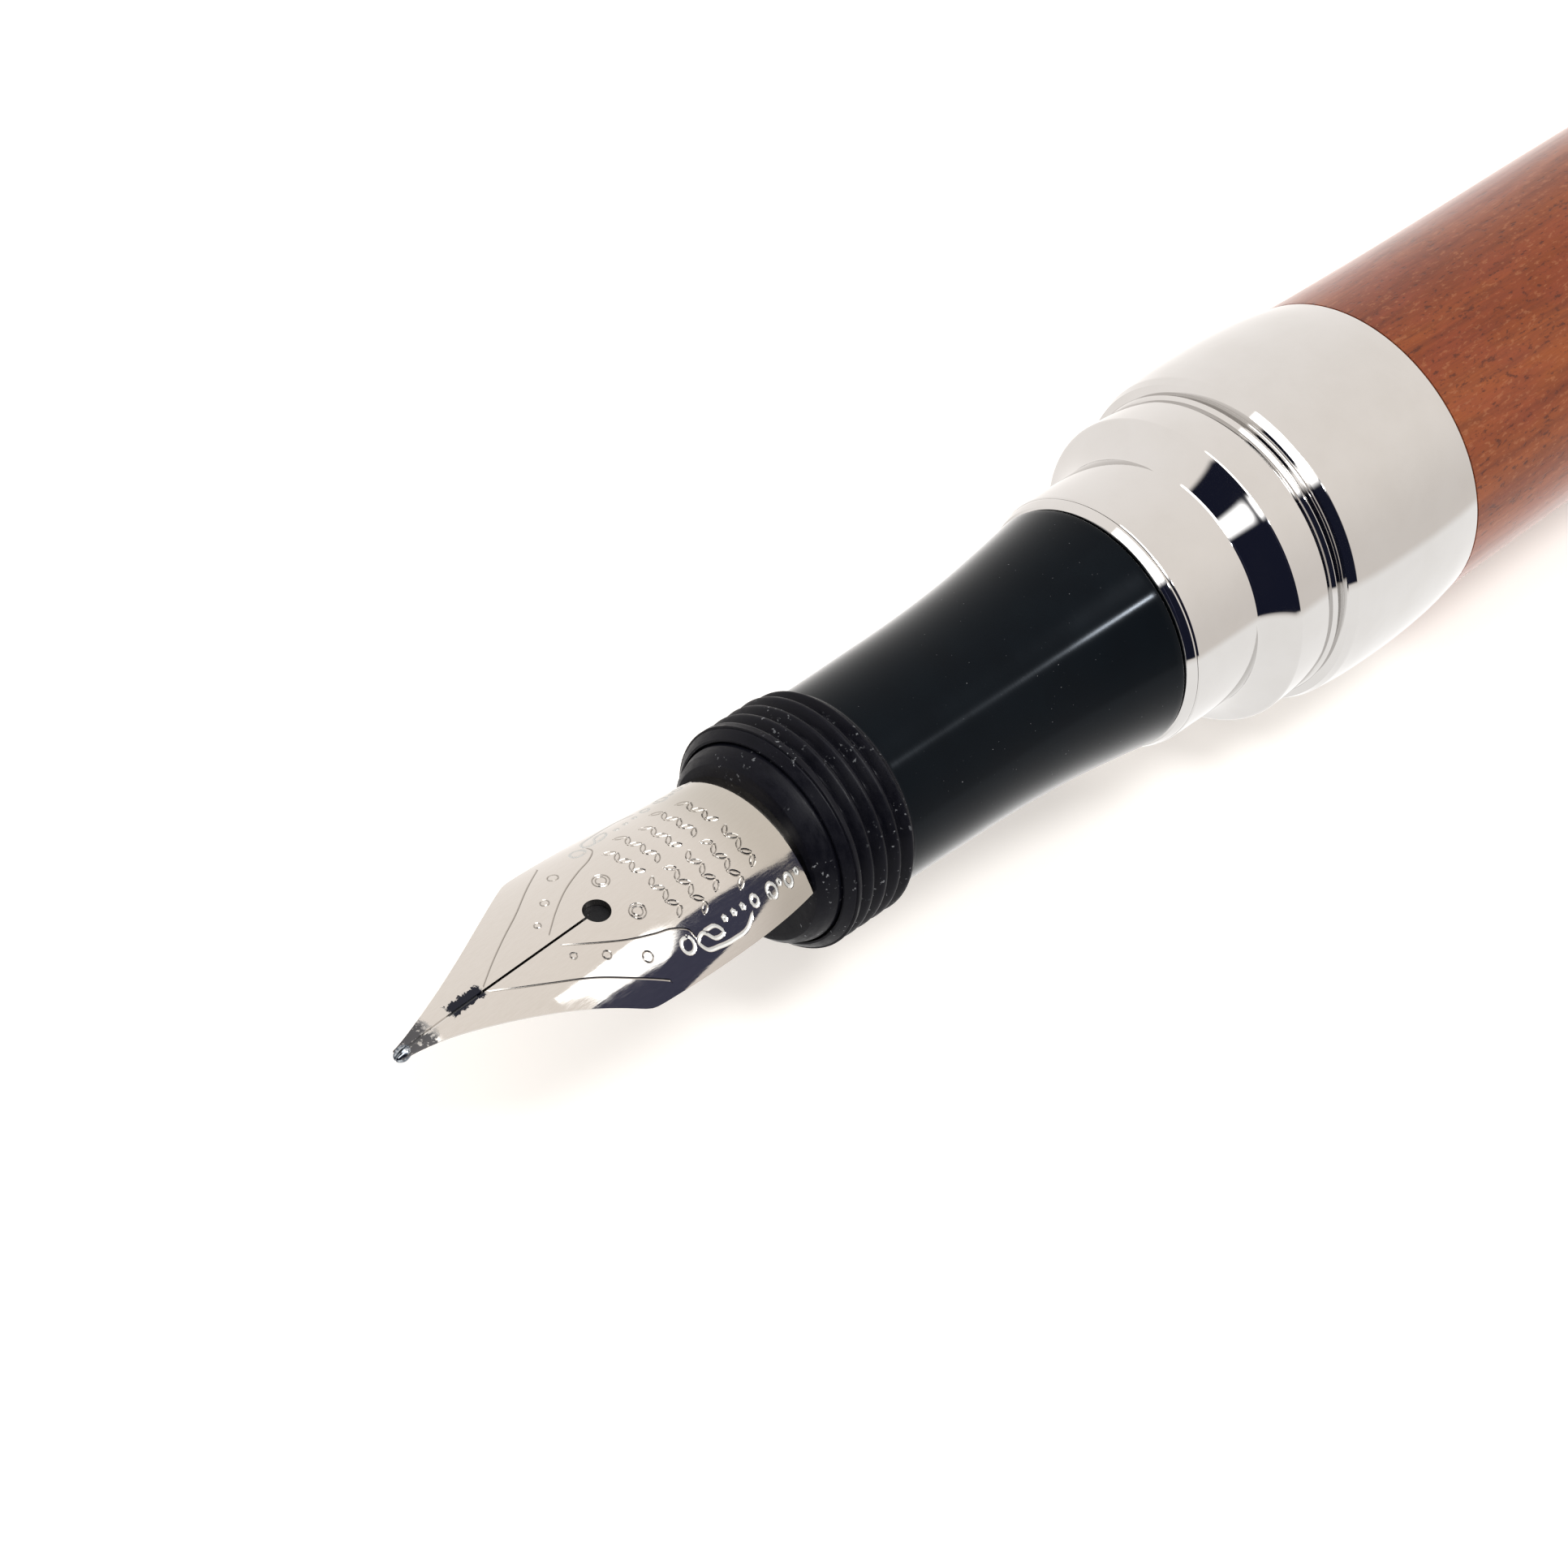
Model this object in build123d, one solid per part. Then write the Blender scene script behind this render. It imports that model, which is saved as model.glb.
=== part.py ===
from build123d import *
import os
from math import cos, pi, radians, sin, sqrt, tan

# A fountain pen with a turned wooden barrel, laid out along X: the nib points to -X, the tail to +X,
# and +Z is the side that the nib's slit faces. The origin is on the pen's axis, where a desk sleeve
# that slides on over the nib stops against the coupler's cove. All lengths are in millimetres, and
# every turned part is a profile of (x, radius) points revolved about X.

# ---------------------------------------------------------------- driving dimensions
RUN_CLEARANCE = 0.08        # radial gap between a shaft and the bore that it turns or slides in
FACE_GAP = 0.02             # axial gap between end faces of pieces that move apart

# stations along the axis, from the nib to the tail
NIB_TIP_X = -48.1           # end of the tipping pellet
NIB_SHOULDER_X = -35.6      # widest place of the nib
BREATHER_X = -36.5          # centre of the breather hole
FACE_X = -26.95             # flat front face of the nib housing
RIM_X = -25.45              # front rim of the section
THREAD_END_X = -21.95       # last crest of the cap thread
GRIP_END_X = -4.69          # black grip meets the chrome
RING_START_X = -4.07        # trim ring meets the coupler
COVE_START_X = 0.1          # shoulder where the slim ring ends and the cove begins
COVE_END_X = 1.3
LAND_END_X = 3.7            # end of the coupler's wide land
BEAD_END_X = 4.3
WOOD_START_X = 14.0
BARREL_LENGTH = 56.0        # wooden blank of the barrel
POST_LENGTH = 12.0          # how far the posted cap goes over the tail
CAP_BLANK_LENGTH = 48.0     # wooden blank of the cap

# radii
GRIP_WAIST_R = 4.93
GRIP_REAR_R = 6.0
RING_R = 6.3                # slim ring, the seat of a desk sleeve
LAND_R = 7.7
BELL_R = 8.36
WOOD_FRONT_R = 7.84
WOOD_TAIL_R = 6.95
TUBE_R = 6.35               # outside of the barrel's brass tube
TUBE_BORE_R = 5.95
SPIGOT_R = 4.75             # threaded spigot behind the grip
HOUSING_R = 4.1             # nib housing inside the section
FEED_R = 2.9
BOSS_R = 6.4                # tail boss that the cap posts on
CAP_BORE_R = BOSS_R + RUN_CLEARANCE
CAP_TUBE_R = 6.95
CAP_BAND_R = 8.5
CAP_WOOD_R = 8.3

# cap thread on the section
CAP_THREAD_CREST_R = 5.46
CAP_THREAD_ROOT_R = 5.1
CAP_THREAD_PITCH = 0.85
CAP_THREAD_RIDGES = 4

# nib: an arched sheet whose flanks widen from the tip to a rounded shoulder
NIB_SHEET = 0.35
NIB_START_X = -47.9         # front edge of the sheet, inside the pellet
NIB_TAPER_END_X = -36.6     # where the flanks reach the shoulder
NIB_START_HALF = 0.3        # half width at the front edge
NIB_SHOULDER_HALF = 4.6
NIB_FACE_HALF = 4.05        # half width at the housing's face
NIB_FLARE = 1.3             # power of the flanks' widening
NIB_FULLNESS = 1.1          # how early the flanks reach the shoulder
NIB_SHOULDER_ROUNDING = 0.04
NIB_FACE_TOP = 3.52         # height of the top line at the housing's face
NIB_SLOPE = 0.067           # fall of the top line towards the tip
NIB_DROOP = 0.24            # further fall at the tip
NIB_DROOP_START_X = -45.0
NIB_FACE_ARCH_R = 4.48      # arch radius at the housing's face
NIB_FLAT_ARCH_R = 8.5       # radius of the flattest arch
NIB_FLAT_X = -41.0          # where the arch is flattest
NIB_STATION_COUNT = 12      # cross-sections that the sheet is lofted through
NIB_TANG_END_X = -16.5
TANG_HALF_WIDTH = 2.6
FEED_END_X = -15.2
SLIT_WIDTH = 0.08
BREATHER_R = 0.63
PELLET_R = 0.42
PELLET_Z = 1.72

# converter
RESERVOIR_R = 3.45
RESERVOIR_BORE_R = 2.9
PISTON_TRAVEL = 20.0
NIPPLE_R = 2.2
ROD_R = 0.9
KNOB_R = 3.4

# clip
CLIP_ANGLE = 50.0           # degrees round from straight down, towards -Y
CLIP_WIDTH = 3.6
CLIP_TIP_WIDTH = 2.6
CLIP_SHEET = 0.8
CLIP_LENGTH = 40.0
CLIP_STAND_OFF = 10.1       # from the axis to the hinge line of the arm

WOOD_END_X = WOOD_START_X + BARREL_LENGTH
BOSS_START_X = WOOD_END_X + 3.8
BOSS_END_X = BOSS_START_X + POST_LENGTH
CAP_MOUTH_X = BOSS_START_X + 0.3
CAP_WOOD_START_X = CAP_MOUTH_X + 7.0
CAP_WOOD_END_X = CAP_WOOD_START_X + CAP_BLANK_LENGTH
CLIP_RING_END_X = CAP_WOOD_END_X + 1.0
CAP_TOP_END_X = CLIP_RING_END_X + 6.2


# ---------------------------------------------------------------- helpers
def turned(*pieces):
    """A solid of revolution about X. Each piece is an edge or a list of (x, radius) points, and the
    pieces follow one another round a closed outline."""
    edges = [Polyline(*piece) if isinstance(piece, list) else piece for piece in pieces]
    return revolve(make_face(edges), Axis.X)


def tube(x0, x1, outer, inner=0.0):
    """A plain tube, or a rod where there is no bore."""
    return turned([(x0, inner), (x1, inner), (x1, outer), (x0, outer), (x0, inner)])


def cut(solid, *tools):
    for tool in tools:
        solid = solid - tool
    return solid


def side_plate(points, half_width):
    """A prism with a side outline of (x, z) points, centred on the XZ plane."""
    return extrude(make_face(Polyline(*points, close=True)).rotate(Axis.X, 90), half_width, both=True)


def plan_prism(edges, height):
    """A prism with a plan outline, from z = -height to z = +height."""
    return extrude(make_face(edges), height, both=True)


# ---------------------------------------------------------------- nib unit
def arch(x, half, top, radius):
    """An arc across the pen at x, from y = -half over the top to y = +half, and its end height."""
    end = top - radius + (radius ** 2 - half ** 2) ** 0.5
    return ThreePointArc((-half, end), (0, top), (half, end)), end


def nib_half_width(x):
    """Half the nib's width: flanks that widen to a rounded shoulder, then draw in to the face."""
    reach = max(0.0, (x - NIB_START_X) / (NIB_TAPER_END_X - NIB_START_X))
    flank = NIB_FULLNESS * reach ** NIB_FLARE
    rounded = (flank + 1 - sqrt((flank - 1) ** 2 + NIB_SHOULDER_ROUNDING ** 2)) / 2
    drawn_in = max(0.0, (x - NIB_SHOULDER_X) / (FACE_X - NIB_SHOULDER_X))
    return (NIB_START_HALF + (NIB_SHOULDER_HALF - NIB_START_HALF) * rounded
            - (NIB_SHOULDER_HALF - NIB_FACE_HALF) * drawn_in ** 2)


def nib_top(x):
    """The height of the nib's top line, which falls towards the tip and droops at its end."""
    droop = max(0.0, (NIB_DROOP_START_X - x) / (NIB_DROOP_START_X - NIB_START_X))
    return NIB_FACE_TOP + NIB_SLOPE * (min(x, FACE_X) - FACE_X) - NIB_DROOP * droop ** 2


def nib_arch_radius(x):
    """The radius of the nib's arch, tightest at the housing's face."""
    flatter = min(1.0, max(0.0, (FACE_X - x) / (FACE_X - NIB_FLAT_X)))
    return NIB_FACE_ARCH_R + (NIB_FLAT_ARCH_R - NIB_FACE_ARCH_R) * flatter ** NIB_FLARE


def nib_stations():
    """Places along the nib, from its front edge to the housing's face."""
    step = (FACE_X - NIB_START_X) / (NIB_STATION_COUNT - 1)
    return [NIB_START_X + step * k for k in range(NIB_STATION_COUNT)]


def nib_section(x, half, top, radius):
    """A cross-section of the nib's sheet, cut off square to the sheet at both flanks."""
    inner_radius = radius - NIB_SHEET
    inner_half = half * inner_radius / radius
    outer, outer_end = arch(x, half, top, radius)
    inner, inner_end = arch(x, inner_half, top - NIB_SHEET, inner_radius)
    left = Line((-half, outer_end), (-inner_half, inner_end))
    right = Line((half, outer_end), (inner_half, inner_end))
    return Pos(x, 0, 0) * (Plane.YZ * make_face([outer, right, inner, left]))


def space_under_nib(depth=7.0, half=3.4):
    """Everything under the nib's sheet, as wide as the feed may be."""
    sections = []
    for x in [-48.5] + nib_stations()[1:] + [-14.0]:
        under, end = arch(x, half, nib_top(x) - NIB_SHEET - FACE_GAP, nib_arch_radius(x) - NIB_SHEET)
        floor = Polyline((half, end), (half, -depth), (-half, -depth), (-half, end))
        sections.append(Pos(x, 0, 0) * (Plane.YZ * make_face([under, floor])))
    return loft(sections, ruled=True)


def nib_tang():
    """The part of the nib inside the housing, which narrows behind the face."""
    face = (NIB_FACE_HALF, NIB_FACE_TOP, NIB_FACE_ARCH_R)
    sheet = loft([nib_section(FACE_X, *face), nib_section(NIB_TANG_END_X, *face)])
    plan = Polyline((FACE_X - 1, 5), (FACE_X, 5), (FACE_X + 1.4, 3.6), (FACE_X + 2.4, TANG_HALF_WIDTH),
                    (NIB_TANG_END_X, TANG_HALF_WIDTH), (NIB_TANG_END_X, -TANG_HALF_WIDTH),
                    (FACE_X + 2.4, -TANG_HALF_WIDTH), (FACE_X + 1.4, -3.6), (FACE_X, -5), (FACE_X - 1, -5),
                    close=True)
    return sheet & plan_prism(plan, 12)


def make_nib():
    stations = [(x, nib_half_width(x), nib_top(x), nib_arch_radius(x)) for x in nib_stations()]
    nib = loft([nib_section(*station) for station in stations]) + nib_tang()
    hole = Pos(BREATHER_X, 0, 0) * Cylinder(BREATHER_R, 12)
    slit = Pos((NIB_TIP_X + BREATHER_X) / 2 - 1, 0, 3) * Box(BREATHER_X - NIB_TIP_X + 2, SLIT_WIDTH, 6)
    return cut(nib, hole, slit)


def make_tipping():
    """The hard pellet at the tip, split by the slit into two halves."""
    pellet = Pos(NIB_TIP_X + PELLET_R, 0, PELLET_Z) * Sphere(PELLET_R)
    pellet = pellet - nib_solid - Pos(NIB_TIP_X, 0, 0) * Box(6, SLIT_WIDTH, 12)
    return pellet


def make_feed():
    """The ink feed under the nib: a grooved rod inside the housing, a wedge in front of it with
    ink-holding fins across its belly."""
    back = FEED_END_X
    rod = tube(-44.5, back, FEED_R)
    side = side_plate([(back, 5), (back, -5), (-32, -3.3), (-35, -2.1), (-38.5, 0.3), (-41.5, 1.5),
                       (-43.2, 2.0), (-43.2, 5)], 6)
    plan = plan_prism(Polyline((back, -3), (-31, -2.9), (-36, -2.1), (-39, -1.5), (-43.2, -0.5),
                               (-43.2, 0.5), (-39, 1.5), (-36, 2.1), (-31, 2.9), (back, 3),
                               close=True), 6)
    feed = rod & side & plan & space_under_nib()
    fin_pitch = 0.8
    for fin in range(9):
        gap = Pos(-35.5 + fin * fin_pitch, 0, -3.4) * Box(0.35, 8, 4)
        feed = feed - gap
    return feed


def make_housing():
    """The sleeve that holds the nib and feed and screws into the section, with a nipple behind it
    for the converter."""
    body = turned([(FACE_X, 0), (FACE_X, 4.3)],
                  ThreePointArc((FACE_X, 4.3), (-26.5, 4.66), (-26.0, 4.8)),
                  [(-26.0, 4.8), (-25.3, 4.8), (-25.3, HOUSING_R), (-14.7, HOUSING_R), (-14.7, NIPPLE_R),
                   (-11.2, NIPPLE_R), (-11.2, 0), (FACE_X, 0)])
    ink_way = tube(FEED_END_X - 0.5, -10, 1.2)
    return cut(body, feed_envelope, nib_envelope, ink_way)


# ---------------------------------------------------------------- section
def make_grip():
    """The black grip: cap thread in front, a long waist, a threaded spigot behind."""
    outline = [(-25.3, 4.8), (-25.9, 4.85), (-25.9, 5.0), (RIM_X, CAP_THREAD_CREST_R)]
    for ridge in range(CAP_THREAD_RIDGES):
        crest = RIM_X + 0.2 + ridge * CAP_THREAD_PITCH
        outline += [(crest, CAP_THREAD_CREST_R), (crest + 0.3, CAP_THREAD_ROOT_R),
                    (crest + 0.5, CAP_THREAD_ROOT_R), (crest + 0.7, CAP_THREAD_CREST_R)]
    waist_start = (THREAD_END_X + 0.5, GRIP_WAIST_R)
    outline += [waist_start]
    waist = Spline(waist_start, (-17.7, 5.0), (-13.0, 5.12), (-9.7, 5.36), (-7.2, 5.66),
                   (GRIP_END_X, GRIP_REAR_R))
    spigot_end = 5.3
    converter_bore = 3.75
    back = [(GRIP_END_X, GRIP_REAR_R), (GRIP_END_X, SPIGOT_R), (spigot_end, SPIGOT_R),
            (spigot_end, converter_bore), (-14.7, converter_bore), (-14.7, HOUSING_R),
            (-25.3, HOUSING_R), (-25.3, 4.8)]
    return turned(outline, waist, back)


def make_trim_ring():
    x0 = GRIP_END_X + FACE_GAP
    x1 = RING_START_X - FACE_GAP
    bore = SPIGOT_R + RUN_CLEARANCE
    crown = ThreePointArc((x0, 6.0), ((x0 + x1) / 2, 6.14), (x1, 6.08))
    return turned([(x1, 6.08), (x1, bore), (x0, bore), (x0, 6.0)], crown)


# ---------------------------------------------------------------- barrel
def make_coupler():
    """The chromed coupler: slim ring, cove and wide land outside, the section's thread inside, and a
    spigot that is pressed into the brass tube."""
    ring = [(RING_START_X, 6.12), (RING_START_X + 0.2, RING_R), (COVE_START_X, RING_R)]
    cove = ThreePointArc((COVE_START_X, RING_R), (0.82, 6.87), (COVE_END_X, LAND_R - 0.05))
    bore = SPIGOT_R + RUN_CLEARANCE
    rest = [(COVE_END_X, LAND_R - 0.05), (COVE_END_X + 0.15, LAND_R), (LAND_END_X, LAND_R - 0.1),
            (LAND_END_X, 5.6), (WOOD_START_X, 5.6), (WOOD_START_X, TUBE_BORE_R), (21.5, TUBE_BORE_R),
            (21.5, 4.3), (6.8, 4.3), (6.8, bore), (RING_START_X, bore), (RING_START_X, 6.12)]
    return turned(ring, cove, rest)


def make_bead_ring():
    crown = ThreePointArc((LAND_END_X, 7.5), ((LAND_END_X + BEAD_END_X) / 2, 7.8), (BEAD_END_X, 7.5))
    return turned(crown, [(BEAD_END_X, 7.5), (BEAD_END_X, 5.6), (LAND_END_X, 5.6), (LAND_END_X, 7.5)])


def make_bell():
    """The bell-shaped collar between the coupler and the wood."""
    nose = ThreePointArc((BEAD_END_X, 7.85), (4.45, 8.12), (4.8, 8.22))
    back = Spline((4.8, 8.22), (6.2, 8.33), (7.6, BELL_R), (10.3, 8.3), (12.3, 8.12),
                  (WOOD_START_X, WOOD_FRONT_R))
    return turned(nose, back, [(WOOD_START_X, WOOD_FRONT_R), (WOOD_START_X, 5.6), (BEAD_END_X, 5.6),
                               (BEAD_END_X, 7.85)])


def make_barrel_wood():
    swell = Spline((WOOD_START_X, WOOD_FRONT_R), (20.0, 7.7), (35.0, 7.58), (53.0, 7.34),
                   (WOOD_END_X, WOOD_TAIL_R))
    return turned(swell, [(WOOD_END_X, WOOD_TAIL_R), (WOOD_END_X, TUBE_R), (WOOD_START_X, TUBE_R),
                          (WOOD_START_X, WOOD_FRONT_R)])


def make_end_ring():
    x0 = WOOD_END_X
    x1 = BOSS_START_X
    crown = ThreePointArc((x0, 7.0), ((x0 + x1) / 2, 7.35), (x1, 7.0))
    return turned(crown, [(x1, 7.0), (x1, 3.0), (x0, 3.0), (x0, 7.0)])


def make_posting_boss():
    """The tail boss that the cap posts on, with a groove for its O-ring and a counterbore for the
    screw that holds it."""
    groove_x = BOSS_START_X + 3.5
    outline = [(WOOD_END_X, 1.25), (WOOD_END_X, 3.0), (BOSS_START_X, 3.0), (BOSS_START_X, BOSS_R),
               (groove_x, BOSS_R), (groove_x, 5.9), (groove_x + 0.6, 5.9), (groove_x + 0.6, BOSS_R),
               (BOSS_END_X - 1, BOSS_R)]
    nose = ThreePointArc((BOSS_END_X - 1, BOSS_R), (BOSS_END_X - 0.3, 6.1), (BOSS_END_X, 5.4))
    counterbore = [(BOSS_END_X, 5.4), (BOSS_END_X, 2.3), (BOSS_END_X - 2.4, 2.3),
                   (BOSS_END_X - 2.4, 1.25), (WOOD_END_X, 1.25)]
    return turned(outline, nose, counterbore)


def make_oring():
    """Round rubber ring, standing 0.05 proud of the boss."""
    minor = 0.275
    section = Pos(BOSS_START_X + 3.8, 5.9 + minor) * Circle(minor)
    return revolve(section, Axis.X)


def make_boss_screw():
    head_x = BOSS_END_X - 2.4
    screw = turned([(62.0, 0), (62.0, 1.25), (head_x, 1.25), (head_x, 2.2), (head_x + 1.6, 2.2),
                    (head_x + 1.9, 1.9), (head_x + 1.9, 0), (62.0, 0)])
    slot = Pos(head_x + 1.6, 0, 0) * Box(0.9, 6, 0.6)
    return screw - slot


# ---------------------------------------------------------------- converter
def make_reservoir():
    """The clear ink reservoir, its mouth pushed over the housing's nipple."""
    return turned([(-14.6, NIPPLE_R), (-14.6, 3.1), (-14.0, RESERVOIR_R), (21.0, RESERVOIR_R),
                   (21.0, RESERVOIR_BORE_R), (-10.2, RESERVOIR_BORE_R), (-11.0, NIPPLE_R),
                   (-14.6, NIPPLE_R)])


def make_piston_seal():
    r = RESERVOIR_BORE_R - 0.05
    return turned([(-7.0, 0), (-7.0, r - 0.3), (-6.7, r), (-6.2, r), (-6.0, r - 0.4), (-4.8, r - 0.4),
                   (-4.6, r), (-4.1, r), (-4.0, r - 0.3), (-4.0, 0), (-7.0, 0)])


def make_knob():
    """The knurled knob, hollow so that the piston rod can draw back into it."""
    x0 = 29.1
    x1 = 53.5
    bore = ROD_R + RUN_CLEARANCE
    knob = turned([(x0, bore), (x0, KNOB_R - 0.2), (x0 + 0.2, KNOB_R), (x1 - 1.2, KNOB_R), (x1, KNOB_R - 1),
                   (x1, 0), (x1 - 1.0, 0), (x1 - 1.0, bore), (x0, bore)])
    flutes = 24
    for flute in range(flutes):
        groove = Pos(38.0, KNOB_R, 0) * Rot(0, 90, 0) * Cylinder(0.16, 12)
        knob = knob - groove.rotate(Axis.X, flute * 360 / flutes)
    return knob


# ---------------------------------------------------------------- cap, posted on the tail
def make_cap_band():
    x0 = CAP_MOUTH_X
    x1 = CAP_WOOD_START_X
    lip = ThreePointArc((x0, 8.0), (x0 + 0.5, 8.4), (x0 + 1.2, CAP_BAND_R))
    bead = ThreePointArc((x1 - 1.2, CAP_BAND_R), (x1 - 0.6, 8.47), (x1, 8.25))
    return turned(lip, [(x0 + 1.2, CAP_BAND_R), (x1 - 1.8, CAP_BAND_R), (x1 - 1.6, CAP_BAND_R - 0.25),
                        (x1 - 1.4, CAP_BAND_R - 0.25), (x1 - 1.2, CAP_BAND_R)], bead,
                  [(x1, 8.25), (x1, CAP_TUBE_R), (x0 + 2, CAP_TUBE_R), (x0 + 2, CAP_BORE_R),
                   (x0, CAP_BORE_R), (x0, 8.0)])


def make_cap_wood():
    x0 = CAP_WOOD_START_X
    x1 = CAP_WOOD_END_X
    swell = Spline((x0, 8.22), (x0 + 14, CAP_WOOD_R), (x0 + 32, 8.1), (x1, 7.55))
    return turned(swell, [(x1, 7.55), (x1, CAP_TUBE_R), (x0, CAP_TUBE_R), (x0, 8.22)])


def make_thread_insert():
    """The threaded ring inside the cap that the section's front thread screws into."""
    x0 = CAP_MOUTH_X + 22.0
    crest = CAP_THREAD_ROOT_R + 0.08
    root = CAP_THREAD_CREST_R + 0.08
    outline = [(x0, CAP_BORE_R), (x0, root)]
    for ridge in range(CAP_THREAD_RIDGES + 1):
        start = x0 + 0.3 + ridge * CAP_THREAD_PITCH
        outline += [(start, root), (start + 0.25, crest), (start + 0.4, crest), (start + 0.65, root)]
    end = x0 + 5.0
    outline += [(end, root), (end, CAP_BORE_R), (x0, CAP_BORE_R)]
    return turned(outline)


def make_cap_liner():
    x0 = CAP_MOUTH_X + 27.0
    x1 = CAP_WOOD_END_X - 4.0
    return turned([(x0, 5.6), (x0, CAP_BORE_R), (x1, CAP_BORE_R), (x1, 0), (x1 - 1, 0), (x1 - 1, 5.6),
                   (x0, 5.6)])


def make_cap_top():
    """The domed cap end, with a threaded stem that clamps the clip ring."""
    x0 = CLIP_RING_END_X
    x1 = CAP_TOP_END_X
    dome = ThreePointArc((x0 + 1.2, 7.9), (x0 + 4.3, 6.7), (x1, 3.3))
    return turned([(CAP_WOOD_END_X - 3, 0), (CAP_WOOD_END_X - 3, 2.0), (x0, 2.0), (x0, 7.6),
                   (x0 + 0.3, 7.9), (x0 + 1.2, 7.9)], dome,
                  [(x1, 3.3), (x1, 3.0), (x1 - 0.8, 3.0), (x1 - 0.8, 0), (CAP_WOOD_END_X - 3, 0)])


def make_cap_inlay():
    """The button set into the end of the cap."""
    x0 = CAP_TOP_END_X - 0.8
    x1 = CAP_TOP_END_X + 0.3
    return turned([(x0, 0), (x0, 3.0), (x1 - 0.4, 3.0), (x1, 2.2), (x1, 0), (x0, 0)])


def on_clip_side(solid):
    """Turn a piece that was made above the axis round to the clip's place."""
    return solid.rotate(Axis.X, 180 - CLIP_ANGLE)


def make_clip_ring():
    """The washer under the cap end, with the tab that the clip arm springs from."""
    x0 = CAP_WOOD_END_X
    washer = tube(x0, CLIP_RING_END_X, 7.75, 2.0)
    tab = Pos((x0 + CLIP_RING_END_X) / 2, 0, 8.2) * Box(CLIP_RING_END_X - x0, CLIP_WIDTH, 2.65)
    return washer + on_clip_side(tab)


def make_clip_arm():
    """The spring arm: a tapering strip with a rolled root and a ball at its free end."""
    root_x = (CAP_WOOD_END_X + CLIP_RING_END_X) / 2
    root = Pos(root_x, 0, CLIP_STAND_OFF) * Rot(90, 0, 0) * Cylinder(0.5, CLIP_WIDTH)
    tip_x = root_x - CLIP_LENGTH
    ball_r = 1.2
    ball_z = CAP_WOOD_R + ball_r + 0.05
    low = CLIP_STAND_OFF - 0.45
    side = side_plate([(root_x, low), (root_x - 6, low + 0.5), (tip_x + 8, low + 0.3), (tip_x, ball_z - 0.3),
                       (tip_x, ball_z + 0.5), (tip_x + 8, low + 0.3 + CLIP_SHEET),
                       (root_x - 6, low + 0.5 + CLIP_SHEET), (root_x, low + 0.95)], 4)
    half = CLIP_WIDTH / 2
    half_tip = CLIP_TIP_WIDTH / 2
    plan = Polyline((root_x, -half), (root_x, half), (root_x - 12, half), (tip_x, half_tip),
                    (tip_x, -half_tip), (root_x - 12, -half), close=True)
    strip = side & plan_prism(plan, 20)
    ball = Pos(tip_x, 0, ball_z) * Sphere(ball_r)
    return on_clip_side(strip + root + ball)


# ---------------------------------------------------------------- build
nib_envelope = nib_tang()
feed_envelope = tube(-30, FEED_END_X, FEED_R) & space_under_nib()
nib_solid = make_nib()

nodes = {
    "grip_section": make_grip(),
    "nib_housing": make_housing(),
    "feed": make_feed(),
    "nib": nib_solid,
    "nib_tipping": make_tipping(),
    "section_trim_ring": make_trim_ring(),
    "barrel_coupler": make_coupler(),
    "bead_ring": make_bead_ring(),
    "bell_collar": make_bell(),
    "barrel_tube": tube(WOOD_START_X, WOOD_END_X, TUBE_R, TUBE_BORE_R),
    "barrel_wood": make_barrel_wood(),
    "rear_bushing": tube(WOOD_END_X - 8, WOOD_END_X, TUBE_BORE_R, 1.25),
    "end_ring": make_end_ring(),
    "posting_boss": make_posting_boss(),
    "posting_oring": make_oring(),
    "boss_screw": make_boss_screw(),
    "converter_reservoir": make_reservoir(),
    "converter_collar": turned([(17.0, RESERVOIR_R), (17.0, 3.65), (28.7, 3.65), (28.7, 2.6),
                                (27.9, 2.6), (27.9, RESERVOIR_R), (17.0, RESERVOIR_R)]),
    "converter_guide": tube(21.0, 25.0, RESERVOIR_R, ROD_R + RUN_CLEARANCE),
    "agitator_ball": Pos(-8.8, 0, -(RESERVOIR_BORE_R - 1.1 - 0.02)) * Sphere(1.1),
    "piston_seal": make_piston_seal(),
    "piston_rod": tube(-4.0, 32.0, ROD_R),
    "converter_knob": make_knob(),
    "cap_band": make_cap_band(),
    "cap_tube": tube(CAP_MOUTH_X + 2, CAP_WOOD_END_X, CAP_TUBE_R, CAP_BORE_R),
    "cap_wood": make_cap_wood(),
    "cap_thread_insert": make_thread_insert(),
    "cap_liner": make_cap_liner(),
    "cap_end_plug": tube(CAP_WOOD_END_X - 3.5, CAP_WOOD_END_X, CAP_BORE_R, 2.0),
    "clip_ring": make_clip_ring(),
    "clip_arm": make_clip_arm(),
    "cap_top": make_cap_top(),
    "cap_inlay": make_cap_inlay(),
}

os.makedirs("parts", exist_ok=True)
for name, solid in nodes.items():
    export_step(solid, f"parts/{name}.step")
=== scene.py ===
"""The looks of a fountain pen with a turned wooden barrel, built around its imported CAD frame.

The pen lies along X, nib towards -X, and +Z is the side that the nib's slit opens on. Profiles are
(x, radius) points in millimetres, as in the CAD, and are turned into metres where a mesh is made.
"""

import math

import bpy
import numpy as np
from mathutils import Matrix, Vector, geometry


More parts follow.
